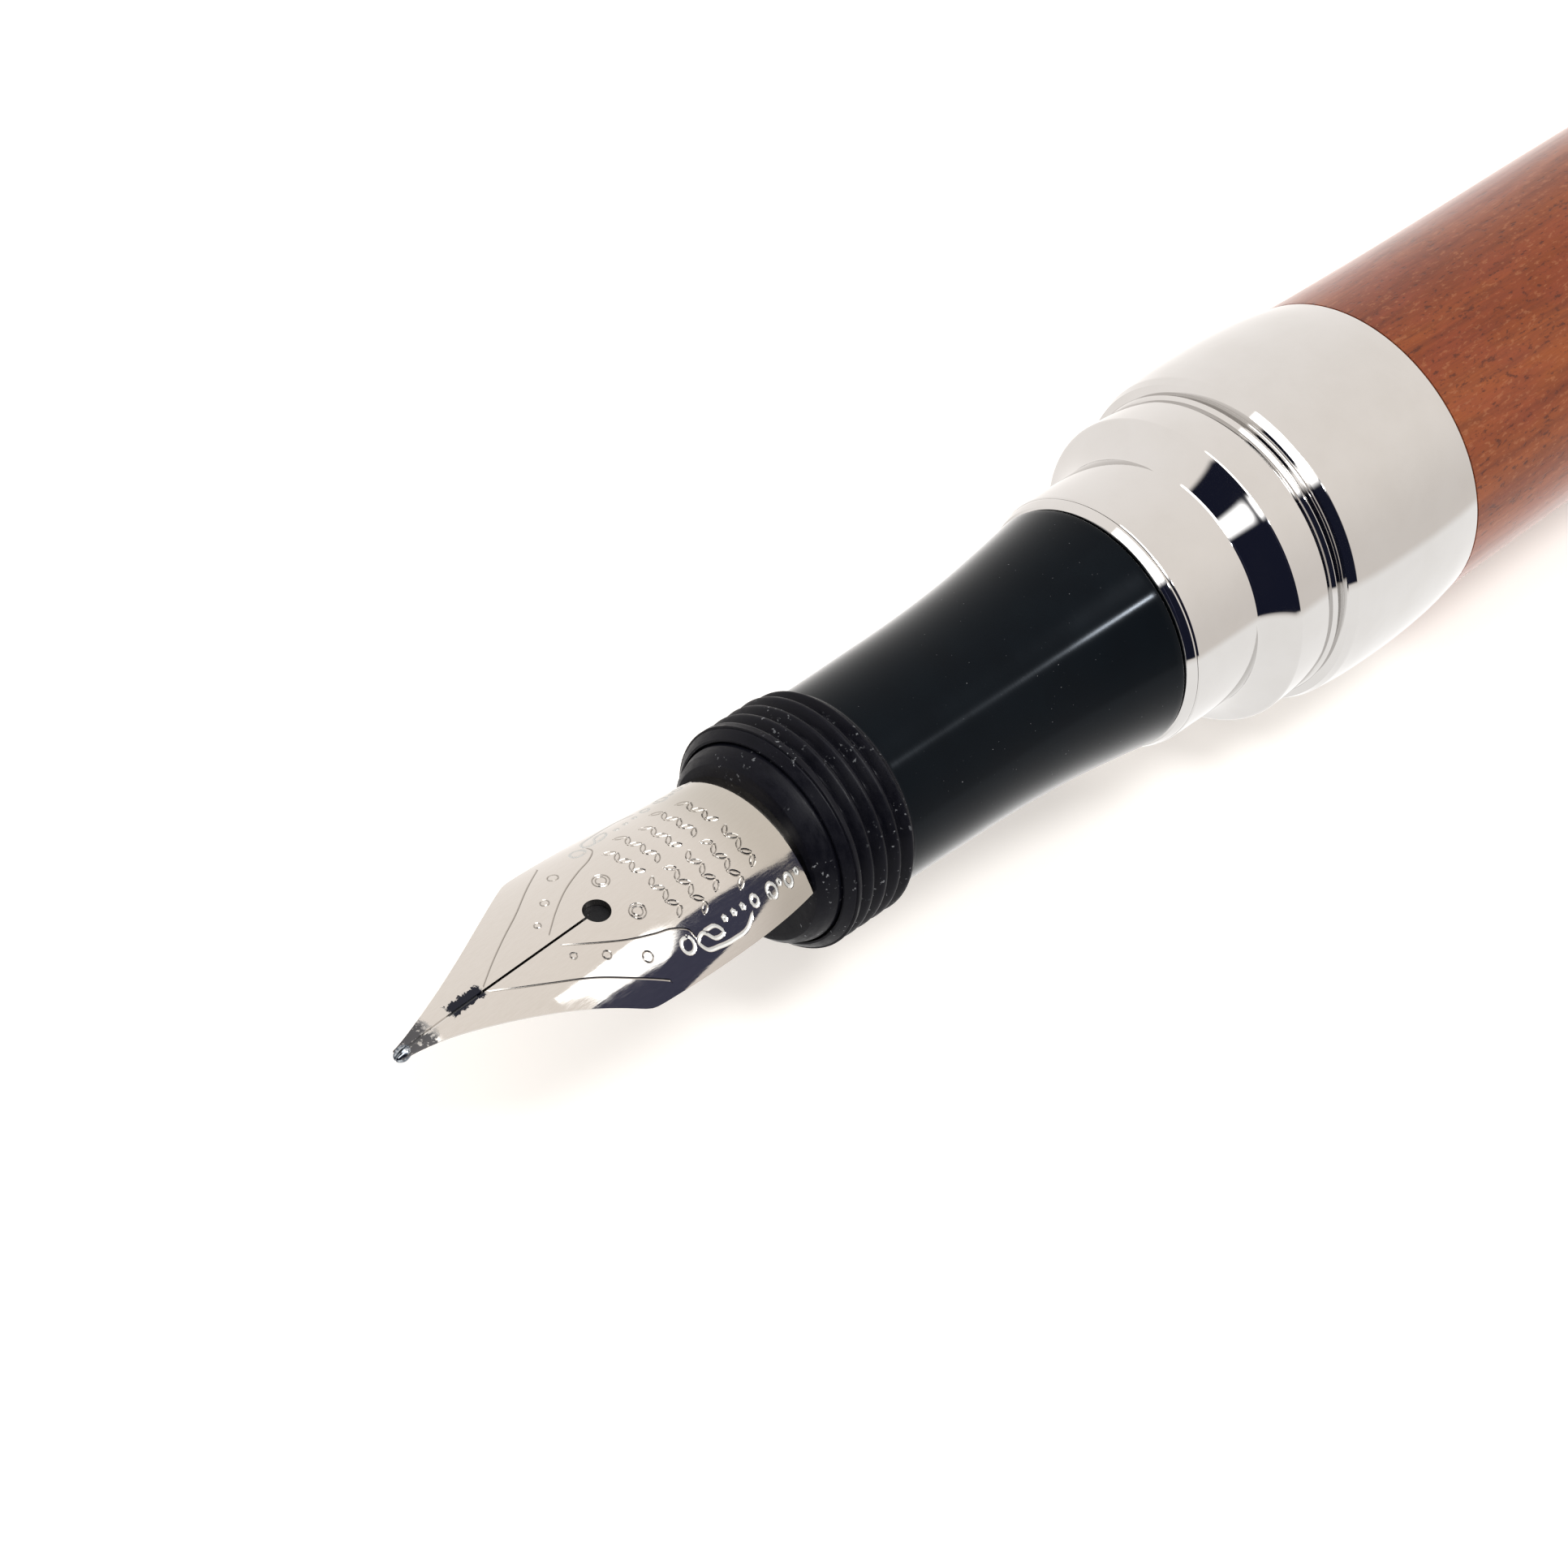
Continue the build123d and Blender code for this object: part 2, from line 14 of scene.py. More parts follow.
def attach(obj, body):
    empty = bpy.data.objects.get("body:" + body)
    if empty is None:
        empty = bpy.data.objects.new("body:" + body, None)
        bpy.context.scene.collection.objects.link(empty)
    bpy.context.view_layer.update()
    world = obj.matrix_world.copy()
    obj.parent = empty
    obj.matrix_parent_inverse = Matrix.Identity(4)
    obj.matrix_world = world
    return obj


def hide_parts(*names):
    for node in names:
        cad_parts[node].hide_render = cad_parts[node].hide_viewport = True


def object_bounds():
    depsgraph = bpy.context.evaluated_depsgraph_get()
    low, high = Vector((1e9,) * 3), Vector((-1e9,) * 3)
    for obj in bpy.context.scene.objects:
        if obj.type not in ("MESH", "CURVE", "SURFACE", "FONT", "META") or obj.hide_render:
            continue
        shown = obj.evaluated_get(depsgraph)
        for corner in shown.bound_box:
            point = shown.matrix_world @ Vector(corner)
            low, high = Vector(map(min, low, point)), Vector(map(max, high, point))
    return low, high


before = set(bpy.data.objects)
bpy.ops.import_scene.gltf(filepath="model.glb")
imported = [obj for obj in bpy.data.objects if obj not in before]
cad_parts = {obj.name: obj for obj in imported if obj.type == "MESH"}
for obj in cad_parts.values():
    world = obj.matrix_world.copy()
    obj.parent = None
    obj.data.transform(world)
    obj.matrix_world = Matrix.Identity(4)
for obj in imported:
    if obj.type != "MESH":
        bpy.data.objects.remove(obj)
cad_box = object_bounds()

MM = 0.001
FINE = 192                  # segments round the pieces that the picture shows large
COARSE = 128                # segments round the others
SHARP_ANGLE = math.radians(32)


# ---------------------------------------------------------------- profiles
def smooth_run(points, steps=24):
    """Points along a smooth curve through the given (x, radius) points."""
    p = np.array(points, float)
    chord = np.hypot(*np.diff(p, axis=0).T)
    t = np.concatenate([[0], np.cumsum(chord)])
    slope = np.gradient(p, t, axis=0)
    out = []
    for i in range(len(p) - 1):
        count = max(2, int(round(steps * chord[i] / t[-1])))
        u = np.linspace(0, 1, count, endpoint=False)[:, None]
        h = chord[i]
        out.append((2 * u**3 - 3 * u**2 + 1) * p[i] + (u**3 - 2 * u**2 + u) * h * slope[i]
                   + (3 * u**2 - 2 * u**3) * p[i + 1] + (u**3 - u**2) * h * slope[i + 1])
    return np.vstack(out + [p[-1:]])


def arc_run(centre, radius, start, end, steps=10):
    """Points along an arc, with angles in degrees from +X towards +radius."""
    a = np.radians(np.linspace(start, end, steps + 1))
    return np.column_stack([centre[0] + radius * np.cos(a), centre[1] + radius * np.sin(a)])


def outline(*items):
    """A closed profile. An item is a corner (x, radius) or (x, radius, fillet), or a run of points."""
    corners = []
    for item in items:
        if isinstance(item, tuple):
            corners.append((item[0], item[1], item[2] if len(item) > 2 else 0.0))
        else:
            corners += [(x, r, 0.0) for x, r in item]
    points = []
    for i, (x, r, fillet) in enumerate(corners):
        here = np.array((x, r))
        to_last = np.array(corners[i - 1][:2]) - here
        to_next = np.array(corners[(i + 1) % len(corners)][:2]) - here
        last_length, next_length = np.linalg.norm(to_last), np.linalg.norm(to_next)
        if fillet <= 0 or min(last_length, next_length) < 1e-6:
            points.append(here)
            continue
        a, b = to_last / last_length, to_next / next_length
        half = math.acos(max(-1.0, min(1.0, float(a @ b)))) / 2
        if half > math.radians(88):
            points.append(here)
            continue
        reach = min(fillet / math.tan(half), 0.48 * last_length, 0.48 * next_length)
        radius = reach * math.tan(half)
        centre = here + (a + b) / np.linalg.norm(a + b) * radius / math.sin(half)
        first, last = here + a * reach - centre, here + b * reach - centre
        turn = math.atan2(first[0] * last[1] - first[1] * last[0], float(first @ last))
        steps = max(3, math.ceil(abs(turn) / math.radians(12)))
        for k in range(steps + 1):
            c, s = math.cos(turn * k / steps), math.sin(turn * k / steps)
            points.append(centre + np.array((first[0] * c - first[1] * s, first[0] * s + first[1] * c)))
    return with_support(points)


def with_support(points, near=(0.05, 0.2)):
    """The closed profile with extra points close to the ends of its long straight runs, which keep
    smooth shading from spreading out of the fillets."""
    out = []
    for i, here in enumerate(points):
        there = points[(i + 1) % len(points)]
        length = np.linalg.norm(there - here)
        out.append(here)
        if length < 4 * near[-1]:
            continue
        along = (there - here) / length
        out += [here + along * d for d in near]
        out += [there - along * d for d in reversed(near)]
    return np.array(out)


# ---------------------------------------------------------------- meshes
def piece(name, vertices, faces, body, material, replaces=(), sharp=SHARP_ANGLE):
    """A shown piece from vertices in millimetres."""
    mesh = bpy.data.meshes.new(name)
    mesh.from_pydata((np.asarray(vertices, float) * MM).tolist(), [], faces)
    mesh.validate()
    mesh.polygons.foreach_set("use_smooth", [True] * len(mesh.polygons))
    mesh.set_sharp_from_angle(angle=sharp)
    mesh.materials.append(material)
    obj = bpy.data.objects.new(name, mesh)
    bpy.context.scene.collection.objects.link(obj)
    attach(obj, body)
    if replaces:
        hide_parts(*replaces)
    return obj


def turned_mesh(profile, segments=FINE, shape=None):
    """Vertices and faces of a closed profile turned about X. shape(x, radius, angle) may change the
    radius, as a thread or knurling does."""
    profile = np.asarray(profile, float)
    x, r = profile.T
    area = 0.5 * np.sum(x * np.roll(r, -1) - np.roll(x, -1) * r)
    if area > 0:
        x, r = x[::-1], r[::-1]
    angle = np.linspace(0, 2 * math.pi, segments, endpoint=False)
    vertices, rings = [], []
    for xi, ri in zip(x, r):
        rings.append(len(vertices))
        if ri < 1e-6:
            vertices.append((xi, 0.0, 0.0))
            continue
        radius = np.full(segments, ri) if shape is None else shape(xi, ri, angle)
        vertices += list(zip(np.full(segments, xi), radius * np.sin(angle), radius * np.cos(angle)))
    faces = []
    for i in range(len(x)):
        j = (i + 1) % len(x)
        a, b = rings[i], rings[j]
        pole_a, pole_b = r[i] < 1e-6, r[j] < 1e-6
        for k in range(segments):
            n = (k + 1) % segments
            if pole_a and pole_b:
                break
            if pole_a:
                faces.append((a, b + n, b + k))
            elif pole_b:
                faces.append((a + k, a + n, b))
            else:
                faces.append((a + k, a + n, b + n, b + k))
    return vertices, faces


def lathe(name, profile, body, material, replaces, segments=FINE, shape=None):
    """A turned piece that stands in for the CAD nodes it replaces."""
    vertices, faces = turned_mesh(profile, segments, shape)
    return piece(name, vertices, faces, body, material, replaces)


# ---------------------------------------------------------------- shader helpers
class Graph:
    """A node tree, with a method for each kind of node that the materials here share. Values are
    numbers or sockets."""

    def __init__(self, tree):
        self.tree = tree
        tree.nodes.clear()

    def put(self, socket, value):
        if isinstance(value, bpy.types.NodeSocket):
            self.tree.links.new(value, socket)
        elif value is not None:
            socket.default_value = value

    def node(self, kind, **settings):
        made = self.tree.nodes.new(kind)
        for key, value in settings.items():
            setattr(made, key, value)
        return made

    def math(self, operation, a, b=None):
        made = self.node("ShaderNodeMath", operation=operation)
        for socket, value in zip(made.inputs, (a, b)):
            self.put(socket, value)
        return made.outputs[0]

    def times(self, *values):
        result = values[0]
        for value in values[1:]:
            result = self.math("MULTIPLY", result, value)
        return result

    def plus(self, a, b):
        return self.math("ADD", a, b)

    def ramp(self, value, low, high, out_low=0.0, out_high=1.0):
        """A smooth step from out_low at low to out_high at high."""
        made = self.node("ShaderNodeMapRange", interpolation_type="SMOOTHSTEP")
        for key, given in zip(("Value", "From Min", "From Max", "To Min", "To Max"),
                              (value, low, high, out_low, out_high)):
            self.put(made.inputs[key], given)
        return made.outputs[0]

    def band(self, value, low, high, soft):
        """One between low and high, falling to nothing over soft at each side."""
        rise = self.ramp(value, low - soft, low + soft)
        fall = self.ramp(value, high - soft, high + soft, 1.0, 0.0)
        return self.times(rise, fall)

    def mix(self, factor, a, b, blend="MIX"):
        made = self.node("ShaderNodeMix", data_type="RGBA", blend_type=blend)
        self.put(made.inputs[0], factor)
        self.put(made.inputs[6], a)
        self.put(made.inputs[7], b)
        return made.outputs[2]

    def stretched(self, vector, scale):
        made = self.node("ShaderNodeVectorMath", operation="MULTIPLY")
        self.put(made.inputs[0], vector)
        made.inputs[1].default_value = scale
        return made.outputs[0]

    def spread(self, value):
        """A number as a vector with three equal parts."""
        made = self.node("ShaderNodeCombineXYZ")
        for socket in made.inputs:
            self.put(socket, value)
        return made.outputs[0]

    def noise(self, vector, scale, detail=3.0, roughness=0.5, distortion=0.0):
        made = self.node("ShaderNodeTexNoise")
        self.put(made.inputs["Vector"], vector)
        made.inputs["Scale"].default_value = scale
        made.inputs["Detail"].default_value = detail
        made.inputs["Roughness"].default_value = roughness
        made.inputs["Distortion"].default_value = distortion
        return made.outputs[0]

    def place(self):
        """The piece's own coordinates in millimetres."""
        made = self.node("ShaderNodeTexCoord")
        return self.stretched(made.outputs["Object"], (1 / MM,) * 3)

    def bump(self, height, strength, distance_mm, normal=None):
        made = self.node("ShaderNodeBump")
        made.inputs["Strength"].default_value = strength
        made.inputs["Distance"].default_value = distance_mm * MM
        self.put(made.inputs["Height"], height)
        self.put(made.inputs["Normal"], normal)
        return made.outputs[0]


def colour(r, g, b):
    return (r, g, b, 1.0)


def material(name, build, **fixed):
    """A principled material: build(graph, shader) adds what varies, fixed gives uniform values."""
    made = bpy.data.materials.new(name)
    made.use_nodes = True
    graph = Graph(made.node_tree)
    shader = graph.node("ShaderNodeBsdfPrincipled")
    for key, value in fixed.items():
        shader.inputs[key.replace("_", " ")].default_value = value
    out = graph.node("ShaderNodeOutputMaterial")
    graph.tree.links.new(shader.outputs[0], out.inputs["Surface"])
    build(graph, shader)
    return made


# ---------------------------------------------------------------- materials
def build_chrome(g, s):
    """Plated and polished on the lathe: mirror bright, with faint turning marks and handling haze."""
    place = g.place()
    haze = g.noise(place, 0.45, 4.0, 0.55)
    marks = g.noise(g.stretched(place, (34.0, 0.12, 0.12)), 1.0, 2.0)
    g.put(s.inputs["Roughness"], g.plus(g.ramp(haze, 0.35, 0.75, 0.022, 0.05), g.times(marks, 0.012)))
    g.put(s.inputs["Base Color"], g.mix(g.ramp(haze, 0.3, 0.8), colour(0.585, 0.575, 0.565),
                                        colour(0.565, 0.553, 0.54)))
    g.put(s.inputs["Normal"], g.bump(marks, 0.02, 0.01))


def build_nib_steel(g, s):
    """Polished steel with painted shade near the housing; the engraving holds dirt and ink has dried along
    the slit at the tip.
    """
    place = g.place()
    split = g.node("ShaderNodeSeparateXYZ")
    g.put(split.inputs[0], place)
    x, y, _ = split.outputs
    engraved = g.node("ShaderNodeAttribute", attribute_name="engraved").outputs["Fac"]
    grain = g.noise(g.stretched(place, (0.8, 5.0, 5.0)), 2.2, 4.0)
    steel = g.mix(grain, colour(0.55, 0.52, 0.485), colour(0.6, 0.575, 0.545))
    blotch = g.noise(place, 2.6, 5.0, 0.65)
    to_blot = g.math("ABSOLUTE", g.plus(y, -0.12))
    ragged = g.noise(place, 5.5, 4.0, 0.7)
    by_slit = g.times(g.ramp(g.plus(to_blot, g.times(ragged, -0.75)), -0.06, -0.03, 1.0, 0.0),
                      g.band(g.plus(x, g.times(ragged, 0.5)), -44.7, -42.85, 0.06))
    at_tip = g.ramp(g.plus(x, g.times(blotch, 2.2)), -45.3, -44.9, 1.0, 0.0)
    ink = g.math("MAXIMUM", by_slit, g.times(at_tip, g.ramp(blotch, 0.38, 0.44, 0.35, 0.9)))
    # painted shade: the steel darkens towards the housing, where the nib runs into it
    steel = g.mix(g.ramp(x, -31.5, -28.0, 0.0, 0.45), steel, colour(0.3, 0.28, 0.23))
    # this carries the painted shade above as well as the dirt held in the engraving
    dirt_and_painted_shade = g.mix(g.times(engraved, 0.7), steel, colour(0.1, 0.085, 0.07))
    frost = g.ramp(g.node("ShaderNodeAttribute", attribute_name="etched").outputs["Fac"], 0.05, 0.45)
    dirt_and_painted_shade = g.mix(frost, dirt_and_painted_shade, colour(0.5, 0.5, 0.485))
    g.put(s.inputs["Base Color"], g.mix(ink, dirt_and_painted_shade, colour(0.006, 0.007, 0.014)))
    g.put(s.inputs["Metallic"], g.times(g.ramp(ink, 0.1, 0.6, 1.0, 0.0), g.ramp(frost, 0.0, 1.0, 1.0, 0.45)))
    wear = g.plus(g.ramp(grain, 0.3, 0.8, 0.03, 0.065), g.times(g.plus(engraved, g.times(frost, 1.4)), 0.28))
    g.put(s.inputs["Roughness"], g.plus(wear, g.times(ink, 0.15)))
    g.put(s.inputs["Normal"], g.bump(grain, 0.03, 0.02))


def build_tipping(g, s):
    """Bright alloy with blue-black ink dried on it."""
    place = g.place()
    blotch = g.noise(place, 3.5, 4.0, 0.6)
    g.put(s.inputs["Base Color"], g.mix(g.ramp(blotch, 0.4, 0.62), colour(0.42, 0.45, 0.48),
                                        colour(0.04, 0.055, 0.08)))
    g.put(s.inputs["Roughness"], g.ramp(blotch, 0.35, 0.7, 0.12, 0.32))


def build_grip(g, s):
    """Black resin turned and polished to a satin, with fine marks round it and a little dust."""
    place = g.place()
    marks = g.noise(g.stretched(place, (26.0, 0.25, 0.25)), 1.0, 3.0, 0.6)
    cloud = g.noise(place, 0.5, 3.0)
    dust = g.ramp(g.noise(place, 9.0, 1.0), 0.78, 0.84)
    base = g.mix(cloud, colour(0.0003, 0.001, 0.0022), colour(0.0012, 0.003, 0.005))
    g.put(s.inputs["Base Color"], g.mix(dust, base, colour(0.16, 0.16, 0.17)))
    g.put(s.inputs["Roughness"], g.plus(g.ramp(cloud, 0.3, 0.7, 0.11, 0.13), g.times(marks, 0.06)))
    tangent = g.node("ShaderNodeTangent", direction_type="RADIAL", axis="X")
    g.put(s.inputs["Tangent"], tangent.outputs[0])
    g.put(s.inputs["Normal"], g.bump(marks, 0.05, 0.01))


def build_thread(g, s):
    """The same black resin, duller where the cap has worn it, with pale dust in the thread."""
    place = g.place()
    wear = g.noise(g.stretched(place, (3.0, 1.0, 1.0)), 1.6, 5.0, 0.65)
    specks = g.ramp(g.noise(place, 4.2, 2.0, 0.55), 0.64, 0.7)
    clusters = g.ramp(g.noise(place, 0.5, 2.0), 0.5, 0.62)
    base = g.mix(wear, colour(0.001, 0.0012, 0.003), colour(0.007, 0.007, 0.011))
    g.put(s.inputs["Base Color"], g.mix(g.times(specks, clusters), base, colour(0.14, 0.145, 0.155)))
    g.put(s.inputs["Roughness"], g.ramp(wear, 0.3, 0.75, 0.3, 0.5))
    g.put(s.inputs["Normal"], g.bump(wear, 0.25, 0.05))


def build_feed(g, s):
    """Matt black moulding with a fine grain."""
    place = g.place()
    grain = g.noise(place, 4.0, 4.0)
    g.put(s.inputs["Base Color"], g.mix(grain, colour(0.004, 0.004, 0.005), colour(0.009, 0.009, 0.01)))
    g.put(s.inputs["Roughness"], g.ramp(grain, 0.3, 0.7, 0.4, 0.55))
    g.put(s.inputs["Normal"], g.bump(grain, 0.2, 0.02))


def build_wood(g, s):
    """Fine reddish-brown hardwood under satin lacquer: long grain, growth bands and short pores."""
    place = g.place()
    bend = g.noise(g.stretched(place, (0.03, 0.12, 0.12)), 1.0, 2.0)
    bent = g.node("ShaderNodeVectorMath", operation="ADD")
    g.put(bent.inputs[0], place)
    g.put(bent.inputs[1], g.stretched(g.spread(bend), (0.0, 5.0, 4.0)))
    grown = bent.outputs[0]
    bands = g.noise(g.stretched(grown, (0.018, 0.30, 0.62)), 1.0, 3.0, 0.55)
    streaks = g.noise(g.stretched(grown, (0.10, 2.1, 2.1)), 1.0, 4.0, 0.6)
    fibre = g.noise(g.stretched(place, (0.55, 9.0, 9.0)), 1.0, 3.0, 0.6)
    flecks = g.noise(g.stretched(place, (1.7, 4.4, 4.4)), 1.0, 3.0, 0.65)
    cloud = g.noise(g.stretched(place, (0.2, 0.5, 0.5)), 1.0, 3.0, 0.6)
    dark = colour(0.075, 0.013, 0.0035)
    mid = colour(0.155, 0.029, 0.0055)
    light = colour(0.225, 0.052, 0.01)
    wood = g.mix(g.ramp(bands, 0.36, 0.62), mid, light)
    wood = g.mix(g.times(g.ramp(cloud, 0.45, 0.65), 0.5), wood, colour(0.2, 0.038, 0.014))
    wood = g.mix(g.times(g.ramp(streaks, 0.46, 0.68), 0.45), wood, dark)
    wood = g.mix(g.times(g.ramp(fibre, 0.4, 0.8), 0.35), wood, dark)
    pores = g.ramp(flecks, 0.56, 0.68)
    wood = g.mix(g.times(pores, 0.75), wood, colour(0.05, 0.01, 0.004))
    pale = g.ramp(flecks, 0.44, 0.33)
    wood = g.mix(g.times(pale, 0.45), wood, colour(0.3, 0.11, 0.045))
    g.put(s.inputs["Base Color"], wood)
    g.put(s.inputs["Roughness"], g.ramp(streaks, 0.3, 0.7, 0.36, 0.5))
    relief = g.plus(g.times(pores, -1.0), g.times(fibre, 0.4))
    g.put(s.inputs["Normal"], g.bump(relief, 0.22, 0.02))


def build_brass(g, s):
    place = g.place()
    drawn = g.noise(g.stretched(place, (0.3, 6.0, 6.0)), 1.0, 3.0)
    g.put(s.inputs["Base Color"], g.mix(drawn, colour(0.66, 0.45, 0.19), colour(0.74, 0.54, 0.25)))
    g.put(s.inputs["Roughness"], g.ramp(drawn, 0.3, 0.7, 0.2, 0.34))


def build_steel(g, s):
    place = g.place()
    marks = g.noise(g.stretched(place, (12.0, 0.8, 0.8)), 1.0, 3.0)
    g.put(s.inputs["Base Color"], g.mix(marks, colour(0.46, 0.46, 0.47), colour(0.56, 0.56, 0.57)))
    g.put(s.inputs["Roughness"], g.ramp(marks, 0.3, 0.7, 0.16, 0.3))


def build_black_plastic(g, s):
    place = g.place()
    skin = g.noise(place, 6.0, 3.0)
    g.put(s.inputs["Base Color"], g.mix(skin, colour(0.009, 0.009, 0.01), colour(0.015, 0.015, 0.016)))
    g.put(s.inputs["Roughness"], g.ramp(skin, 0.3, 0.7, 0.2, 0.3))
    g.put(s.inputs["Normal"], g.bump(skin, 0.06, 0.01))


def build_rubber(g, s):
    place = g.place()
    skin = g.noise(place, 8.0, 3.0)
    g.put(s.inputs["Base Color"], g.mix(skin, colour(0.011, 0.011, 0.011), colour(0.022, 0.022, 0.022)))
    g.put(s.inputs["Roughness"], g.ramp(skin, 0.3, 0.7, 0.6, 0.75))


def build_clear(g, s):
    place = g.place()
    flow = g.noise(g.stretched(place, (0.2, 2.0, 2.0)), 1.0, 2.0)
    g.put(s.inputs["Roughness"], g.ramp(flow, 0.3, 0.7, 0.03, 0.08))
    g.put(s.inputs["Normal"], g.bump(flow, 0.05, 0.02))


def build_inlay(g, s):
    place = g.place()
    swirl = g.noise(place, 1.4, 4.0, 0.55, 1.5)
    g.put(s.inputs["Base Color"], g.mix(g.ramp(swirl, 0.4, 0.66), colour(0.006, 0.006, 0.008),
                                        colour(0.03, 0.03, 0.038)))
    g.put(s.inputs["Roughness"], g.ramp(swirl, 0.3, 0.7, 0.08, 0.14))


chrome = material("polished_chrome", build_chrome, Metallic=1.0)
nib_steel = material("engraved_nib_steel", build_nib_steel, Specular_IOR_Level=0.15)
tipping = material("tipping_alloy", build_tipping, Metallic=1.0)
grip_resin = material("satin_black_resin", build_grip, Specular_IOR_Level=0.065, Anisotropic=0.85,
                      Anisotropic_Rotation=0.25, Specular_Tint=colour(0.88, 0.98, 1.1), Sheen_Weight=0.72,
                      Sheen_Roughness=0.27)
thread_resin = material("worn_black_thread", build_thread, Specular_IOR_Level=0.08)
feed_plastic = material("matt_black_feed", build_feed, Specular_IOR_Level=0.12)
wood = material("lacquered_hardwood", build_wood, Coat_Weight=0.22, Coat_Roughness=0.3, Coat_IOR=1.35,
                Specular_IOR_Level=0.08, Sheen_Weight=0.85, Sheen_Roughness=0.35,
                Sheen_Tint=colour(1.0, 0.88, 0.85))
brass = material("drawn_brass", build_brass, Metallic=1.0)
steel = material("bright_steel", build_steel, Metallic=1.0)
black_plastic = material("moulded_black_plastic", build_black_plastic)
rubber = material("black_rubber", build_rubber, Specular_IOR_Level=0.3)
clear_plastic = material("clear_moulding", build_clear, Base_Color=colour(0.93, 0.96, 0.97),
                         Transmission_Weight=1.0, IOR=1.49)
inlay = material("polished_black_inlay", build_inlay, Coat_Weight=0.5)


# ---------------------------------------------------------------- grip section
THREAD_PITCH = 0.85
THREAD_START = -25.3
THREAD_STOP = -21.75
THREAD_ROOT = 5.1
THREAD_CREST = 5.46
THREAD_FULLNESS = 0.62      # under one, the ridges are wider than the grooves
WORN_END = -21.6            # in front of it the cap has worn the grip


def cap_thread(x, r, angle):
    """The rounded cap thread, one helix that runs out at both ends. It winds left-handed, while a real
    cap thread is right-handed; with "+ angle" in the phase it would wind the right way."""
    if r < THREAD_ROOT - 0.5 or not THREAD_START - 0.2 < x < THREAD_STOP + 0.3:
        return np.full(len(angle), r)
    phase = (x - THREAD_START) / THREAD_PITCH - angle / (2 * math.pi)
    ridge = (0.5 + 0.5 * np.cos(2 * math.pi * phase)) ** THREAD_FULLNESS
    fade = min(1.0, max(0.0, (THREAD_STOP + 0.25 - x) / 0.5))
    blend_in = min(1.0, max(0.0, (x - THREAD_START + 0.1) / 0.35))
    threaded = THREAD_ROOT + (THREAD_CREST - THREAD_ROOT) * (ridge * blend_in + (1 - blend_in)) * fade
    return threaded * min(1.0, fade * 4) + r * (1 - min(1.0, fade * 4))


def make_grip():
    """The black grip, with the cap thread in front and a spigot behind."""
    thread_x = np.arange(THREAD_START, THREAD_STOP + 0.3, 0.045)
    threaded = [(x, THREAD_ROOT) for x in thread_x]
    waist = smooth_run([(-21.45, 4.93), (-17.7, 5.0), (-13.0, 5.12), (-9.7, 5.36), (-7.2, 5.66),
                        (-4.9, 5.98)], 90)
    return lathe("black_grip", outline(
        (-25.3, 4.9), (-25.95, 4.92), (-25.95, 5.02, 0.05), (-25.52, 5.42, 0.12), threaded, waist,
        (-4.69, 5.99, 0.06), (-4.69, 4.75), (5.3, 4.75, 0.2), (5.3, 3.75), (-14.7, 3.75), (-14.7, 4.15),
        (-25.3, 4.15)), "section", grip_resin, ["grip_section"], shape=cap_thread)


def use_second_material(obj, second, chosen):
    """Give the faces whose centre passes chosen(x, y, z), in millimetres, the second material."""
    obj.data.materials.append(second)
    for face in obj.data.polygons:
        if chosen(*(face.center / MM)):
            face.material_index = 1


def make_housing():
    """The sleeve round nib and feed, with its domed face."""
    return lathe("nib_unit_housing", outline(
        (-26.95, 0), (-26.95, 3.0), (-26.95, 4.1), (-26.93, 4.3, 0.08), (-26.6, 4.62), (-26.1, 4.8, 0.15),
        (-25.3, 4.8), (-25.3, 4.1), (-14.7, 4.1, 0.1), (-14.7, 2.2), (-11.2, 2.2, 0.2), (-11.2, 0)),
        "section", thread_resin, ["nib_housing"])


grip = make_grip()
use_second_material(grip, thread_resin, lambda x, y, z: x < WORN_END)
make_housing()


# ---------------------------------------------------------------- nib
NIB_SHEET = 0.35
NIB_EDGE_SHEET = 0.1         # the sheet is thinned and polished towards its edge,
NIB_EDGE_REACH = 0.7         # over this width
NIB_EDGE_FALL = 0.7          # power of the thinning
NIB_TIP, NIB_FACE, NIB_TANG_END = -47.95, -26.95, -16.5
HOLE_X, HOLE_R = -36.5, 0.63
SLIT_HALF = 0.06
CUT_HALF = 0.05             # half width of a fine engraved line
ETCH_HALF = 0.085           # half width of a broad etched line
GROOVE_DEPTH = 0.03
PLAIN, FINE_CUT, BROAD_CUT = 0, 1, 2
NIB_TAPER_END = -36.6        # where the flanks reach the shoulder
NIB_SHOULDER = -35.6         # behind it the flanks draw in
NIB_TIP_HALF, NIB_SHOULDER_HALF, NIB_FACE_HALF = 0.3, 4.6, 4.05
NIB_FLARE = 1.3              # power of the flanks' widening
NIB_FULLNESS = 1.1           # how early the flanks reach the shoulder
NIB_SHOULDER_ROUNDING = 0.04
NIB_FACE_TOP, NIB_SLOPE = 3.52, 0.067
NIB_DROOP, NIB_DROOP_START = 0.24, -45.0
NIB_FACE_ARCH, NIB_FLAT_ARCH, NIB_FLAT = 4.48, 8.5, -41.0


def nib_height(x, y):
    """The nib's upper surface: it falls towards the tip, and its arch gets tighter to the housing."""
    droop = np.maximum(0.0, (NIB_DROOP_START - x) / (NIB_DROOP_START - NIB_TIP))
    crown = NIB_FACE_TOP + NIB_SLOPE * (np.minimum(x, NIB_FACE) - NIB_FACE) - NIB_DROOP * droop**2
    flatter = np.clip((NIB_FACE - x) / (NIB_FACE - NIB_FLAT), 0.0, 1.0)
    arch = NIB_FACE_ARCH + (NIB_FLAT_ARCH - NIB_FACE_ARCH) * flatter**NIB_FLARE
    return crown - (arch - np.sqrt(np.maximum(arch**2 - y**2, 0.01)))


